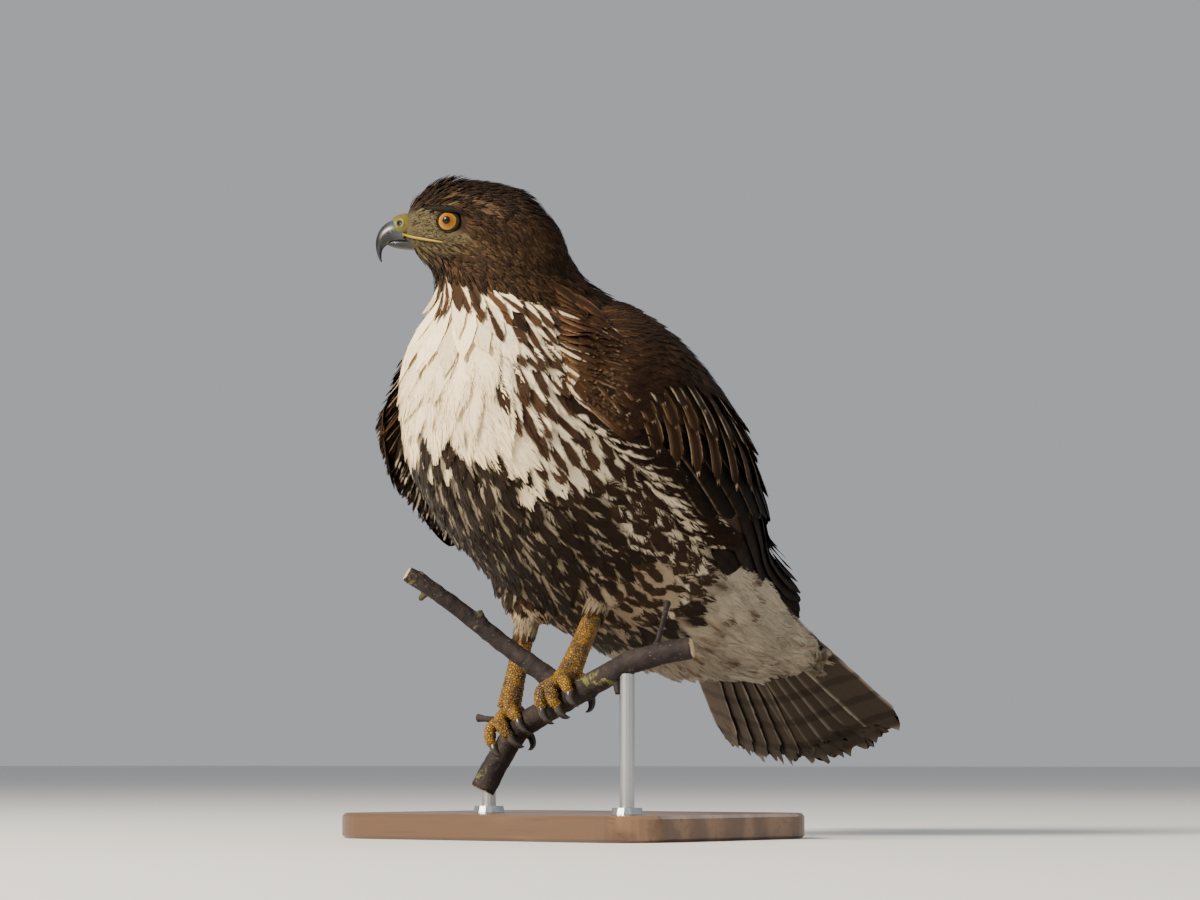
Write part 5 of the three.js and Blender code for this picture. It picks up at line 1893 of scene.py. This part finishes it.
def steel_finish():
    """Fine brushed steel."""
    made = Finish("brushed steel")
    here = made.here()
    lines = made.noise(made.scaled(here, 300, 300, 9000), 1.0, 2, 0.5)
    colour = made.mix(lines, (0.46, 0.47, 0.48), (0.62, 0.63, 0.64))
    return made.surface(colour, 0.24 + 0.16 * lines, made.bump(lines, 0.1, 0.0001), more={"Metallic": 1.0})


def finish_stand():
    """Gives the stand's own solids their wood and steel."""
    steel = steel_finish()
    finishes = {"stand_base": wood_finish(), "stand_rod_left": steel, "stand_rod_right": steel}
    for name, material in finishes.items():
        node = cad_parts[name]
        for slot in node.material_slots:
            slot.material = material


# Settings shown in the sidebar

def colour_setting(name, description, default):
    """A colour."""
    return FloatVectorProperty(
        name=name, description=description, default=default, subtype="COLOR", min=0, max=1
    )


def number_setting(name, description, default, low, high):
    """A number between two limits."""
    return FloatProperty(name=name, description=description, default=default, min=low, max=high)


def angle_setting(name, description, degrees):
    """An angle."""
    turn = math.radians(degrees)
    return FloatProperty(name=name, description=description, default=turn, subtype="ANGLE", unit="ROTATION")


def length_setting(name, description, default):
    """A distance in metres."""
    return FloatProperty(
        name=name, description=description, default=default, subtype="DISTANCE", unit="LENGTH"
    )


class HawkPlumageSettings(bpy.types.PropertyGroup):
    """Closeness and edge colours of the plumage."""

    covert_edge: colour_setting("Covert edges", "Pale edges of the wing coverts", (0.52, 0.38, 0.24))
    tail_edge: colour_setting("Tail tips", "Worn tips of the tail", (0.42, 0.35, 0.27))
    density: number_setting("Density", "Closeness of the feather roots; 1 is a full coat", 1.0, 0.3, 1.5)


class HawkEyeSettings(bpy.types.PropertyGroup):
    """Sizes and colours of the eyes."""

    iris: number_setting("Iris", "Radius of the iris in millimetres", 6.0, 3, 7)
    pupil: number_setting("Pupil", "Radius of the pupil in millimetres", 2.5, 1, 4)
    inner: colour_setting("Inner colour", "Iris by the pupil", (0.22, 0.065, 0.002))
    outer: colour_setting("Outer colour", "Iris by its rim", (0.36, 0.18, 0.006))


class HawkLimbSettings(bpy.types.PropertyGroup):
    """Colours of the legs and the perch."""

    skin_light: colour_setting("Leg, light", "Clean leg skin", (0.42, 0.215, 0.013))
    skin_dark: colour_setting("Leg, dark", "Shaded leg skin", (0.21, 0.095, 0.007))
    bark_dark: colour_setting("Bark, dark", "Darker bark", (0.011, 0.007, 0.007))
    bark_light: colour_setting("Bark, light", "Lighter bark", (0.032, 0.022, 0.02))


class HawkStageSettings(bpy.types.PropertyGroup):
    """The floor and the camera."""

    floor_colour: colour_setting("Floor", "Colour of the floor", (0.74, 0.735, 0.72))
    turn: angle_setting("View turn", "Turn of the camera from the bird's front towards its left", 38)
    look_up: angle_setting("Look up", "How much the camera looks up", 5)
    distance: length_setting("Distance", "Camera to the middle of the bird", 2.3)
    view_width: length_setting("View width", "Width of the picture at the bird", 0.774)


class HAWK_OT_skin(bpy.types.Operator):
    """Joins the flesh solids into one skin that lies under the feathers"""

    bl_idname = "hawk.skin"
    bl_label = "Skin"

    def execute(self, context):
        mesh = remeshed(flesh_bmesh(), SKIN_VOXEL)
        skin_under_feathers(mesh)
        mesh.name = "skin"
        dress(mesh, "skin", skin_finish(), FLESH)
        return {"FINISHED"}


class HAWK_OT_body_feathers(bpy.types.Operator):
    """Lays the feathers of head, neck, breast, belly, back, thighs and vent over the skin"""

    bl_idname = "hawk.body_feathers"
    bl_label = "Body feathers"

    def execute(self, context):
        coat_pieces(context.scene.hawk_plumage)
        return {"FINISHED"}


class HAWK_OT_wings(bpy.types.Operator):
    """Builds both wings in tiers of coverts and flight feathers"""

    bl_idname = "hawk.wings"
    bl_label = "Wings"

    def execute(self, context):
        wing_pieces(context.scene.hawk_plumage)
        return {"FINISHED"}


class HAWK_OT_tail(bpy.types.Operator):
    """Builds the fanned tail"""

    bl_idname = "hawk.tail"
    bl_label = "Tail"

    def execute(self, context):
        tail_piece(context.scene.hawk_plumage)
        return {"FINISHED"}


class HAWK_OT_face(bpy.types.Operator):
    """Builds eyes, lids, brows, bill and cere"""

    bl_idname = "hawk.face"
    bl_label = "Face"

    def execute(self, context):
        face_pieces(context.scene.hawk_eyes)
        return {"FINISHED"}


class HAWK_OT_legs(bpy.types.Operator):
    """Builds shanks, feet and claws"""

    bl_idname = "hawk.legs"
    bl_label = "Legs"

    def execute(self, context):
        leg_pieces(context.scene.hawk_limbs)
        return {"FINISHED"}


class HAWK_OT_perch(bpy.types.Operator):
    """Builds the cut branch with its bark"""

    bl_idname = "hawk.perch"
    bl_label = "Perch"

    def execute(self, context):
        dress(perch_mesh(), "perch_branch", bark_finish(context.scene.hawk_limbs), ("perch",))
        return {"FINISHED"}


class HAWK_OT_stand(bpy.types.Operator):
    """Finishes the base and rods of the stand"""

    bl_idname = "hawk.stand"
    bl_label = "Stand"

    def execute(self, context):
        finish_stand()
        return {"FINISHED"}


class HAWK_OT_stage(bpy.types.Operator):
    """Sets the pale floor, the soft lights and the camera"""

    bl_idname = "hawk.stage"
    bl_label = "Stage"

    def execute(self, context):
        build_stage(context.scene.hawk_stage)
        return {"FINISHED"}


# Lamps: place, width, power and colour
LAMPS = {
    "key": ((-0.7, -2.4, 1.9), 0.9, 225, (1.0, 0.9, 0.75)),
    "fill": ((2.6, -1.4, 1.2), 2.0, 8, (0.95, 0.96, 1.0)),
    "rim": ((0.6, 2.4, 1.8), 1.6, 13, (1.0, 0.97, 0.92)),
}
LAMP_AIM = (0, 0.03, 0.25)
ROOM_COLOUR, ROOM_STRENGTH = (0.86, 0.89, 0.94, 1), 0.46
CAMERA_AIM = (0, 0.0278, 0.2485)
SENSOR = 36.0  # millimetres
FLOOR_HALF = 30.0


def aim(piece, place, target):
    """Sets a lamp or camera at a place, facing a target."""
    piece.location = place
    piece.rotation_euler = (Vector(target) - Vector(place)).to_track_quat("-Z", "Y").to_euler()


def build_floor(tone):
    """A plain pale floor."""
    made = Finish("pale floor")
    grain = made.noise(made.here(), 90, 4)
    colour = made.mix(grain, tuple(0.97 * c for c in tone), tone)
    bm = bmesh.new()
    bmesh.ops.create_grid(bm, x_segments=4, y_segments=4, size=FLOOR_HALF)
    mesh = bpy.data.meshes.new("floor")
    bm.to_mesh(mesh)
    bm.free()
    mesh.materials.append(made.surface(colour, 0.85, gloss=0.2))
    linked("floor", mesh)


def build_stage(settings):
    """Floor, world, lamps and camera."""
    build_floor(tuple(settings.floor_colour))
    world = bpy.data.worlds.new("soft room")
    world.use_nodes = True
    background = world.node_tree.nodes["Background"]
    background.inputs["Color"].default_value = ROOM_COLOUR
    background.inputs["Strength"].default_value = ROOM_STRENGTH
    bpy.context.scene.world = world
    for name, (place, size, power, colour) in LAMPS.items():
        lamp = bpy.data.lights.new(name, "AREA")
        lamp.size = size
        lamp.energy = power
        lamp.color = colour
        aim(linked(name, lamp), place, LAMP_AIM)
    level = math.cos(settings.look_up)
    back = Vector(
        (math.sin(settings.turn) * level, -math.cos(settings.turn) * level, -math.sin(settings.look_up))
    )
    data = bpy.data.cameras.new("camera")
    data.sensor_width = SENSOR
    data.lens = SENSOR * settings.distance / settings.view_width
    camera = linked("camera", data)
    aim(camera, Vector(CAMERA_AIM) + back * settings.distance, CAMERA_AIM)
    bpy.context.scene.camera = camera


class HAWK_PT_sidebar(bpy.types.Panel):
    """The hawk's settings and its pieces"""

    bl_idname = "HAWK_PT_sidebar"
    bl_label = "Perched Hawk"
    bl_space_type = "VIEW_3D"
    bl_region_type = "UI"
    bl_category = "Hawk"

    def draw(self, context):
        layout = self.layout
        for name in SETTINGS:
            box = layout.box()
            group = getattr(context.scene, name)
            for key in group.bl_rna.properties.keys():
                if key not in ("rna_type", "name"):
                    box.prop(group, key)
        for kind in PIECES:
            layout.operator(kind.bl_idname)


PIECES = (
    *(HAWK_OT_stage, HAWK_OT_skin, HAWK_OT_body_feathers, HAWK_OT_wings, HAWK_OT_tail),
    *(HAWK_OT_face, HAWK_OT_legs, HAWK_OT_perch, HAWK_OT_stand),
)
SETTINGS = {
    "hawk_plumage": HawkPlumageSettings,
    "hawk_eyes": HawkEyeSettings,
    "hawk_limbs": HawkLimbSettings,
    "hawk_stage": HawkStageSettings,
}
CLASSES = (*SETTINGS.values(), *PIECES, HAWK_PT_sidebar)


def register():
    """Adds the classes and their settings."""
    for kind in CLASSES:
        bpy.utils.register_class(kind)
    for name, kind in SETTINGS.items():
        setattr(bpy.types.Scene, name, PointerProperty(type=kind))


def unregister():
    """Takes the classes and their settings away."""
    for name in SETTINGS:
        delattr(bpy.types.Scene, name)
    for kind in reversed(CLASSES):
        bpy.utils.unregister_class(kind)


def main():
    """Builds everything in order."""
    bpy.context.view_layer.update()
    register()
    bpy.ops.hawk.stage()
    bpy.ops.hawk.skin()
    bpy.ops.hawk.body_feathers()
    bpy.ops.hawk.wings()
    bpy.ops.hawk.tail()
    bpy.ops.hawk.face()
    bpy.ops.hawk.legs()
    bpy.ops.hawk.perch()
    bpy.ops.hawk.stand()


if __name__ == "__main__":
    main()
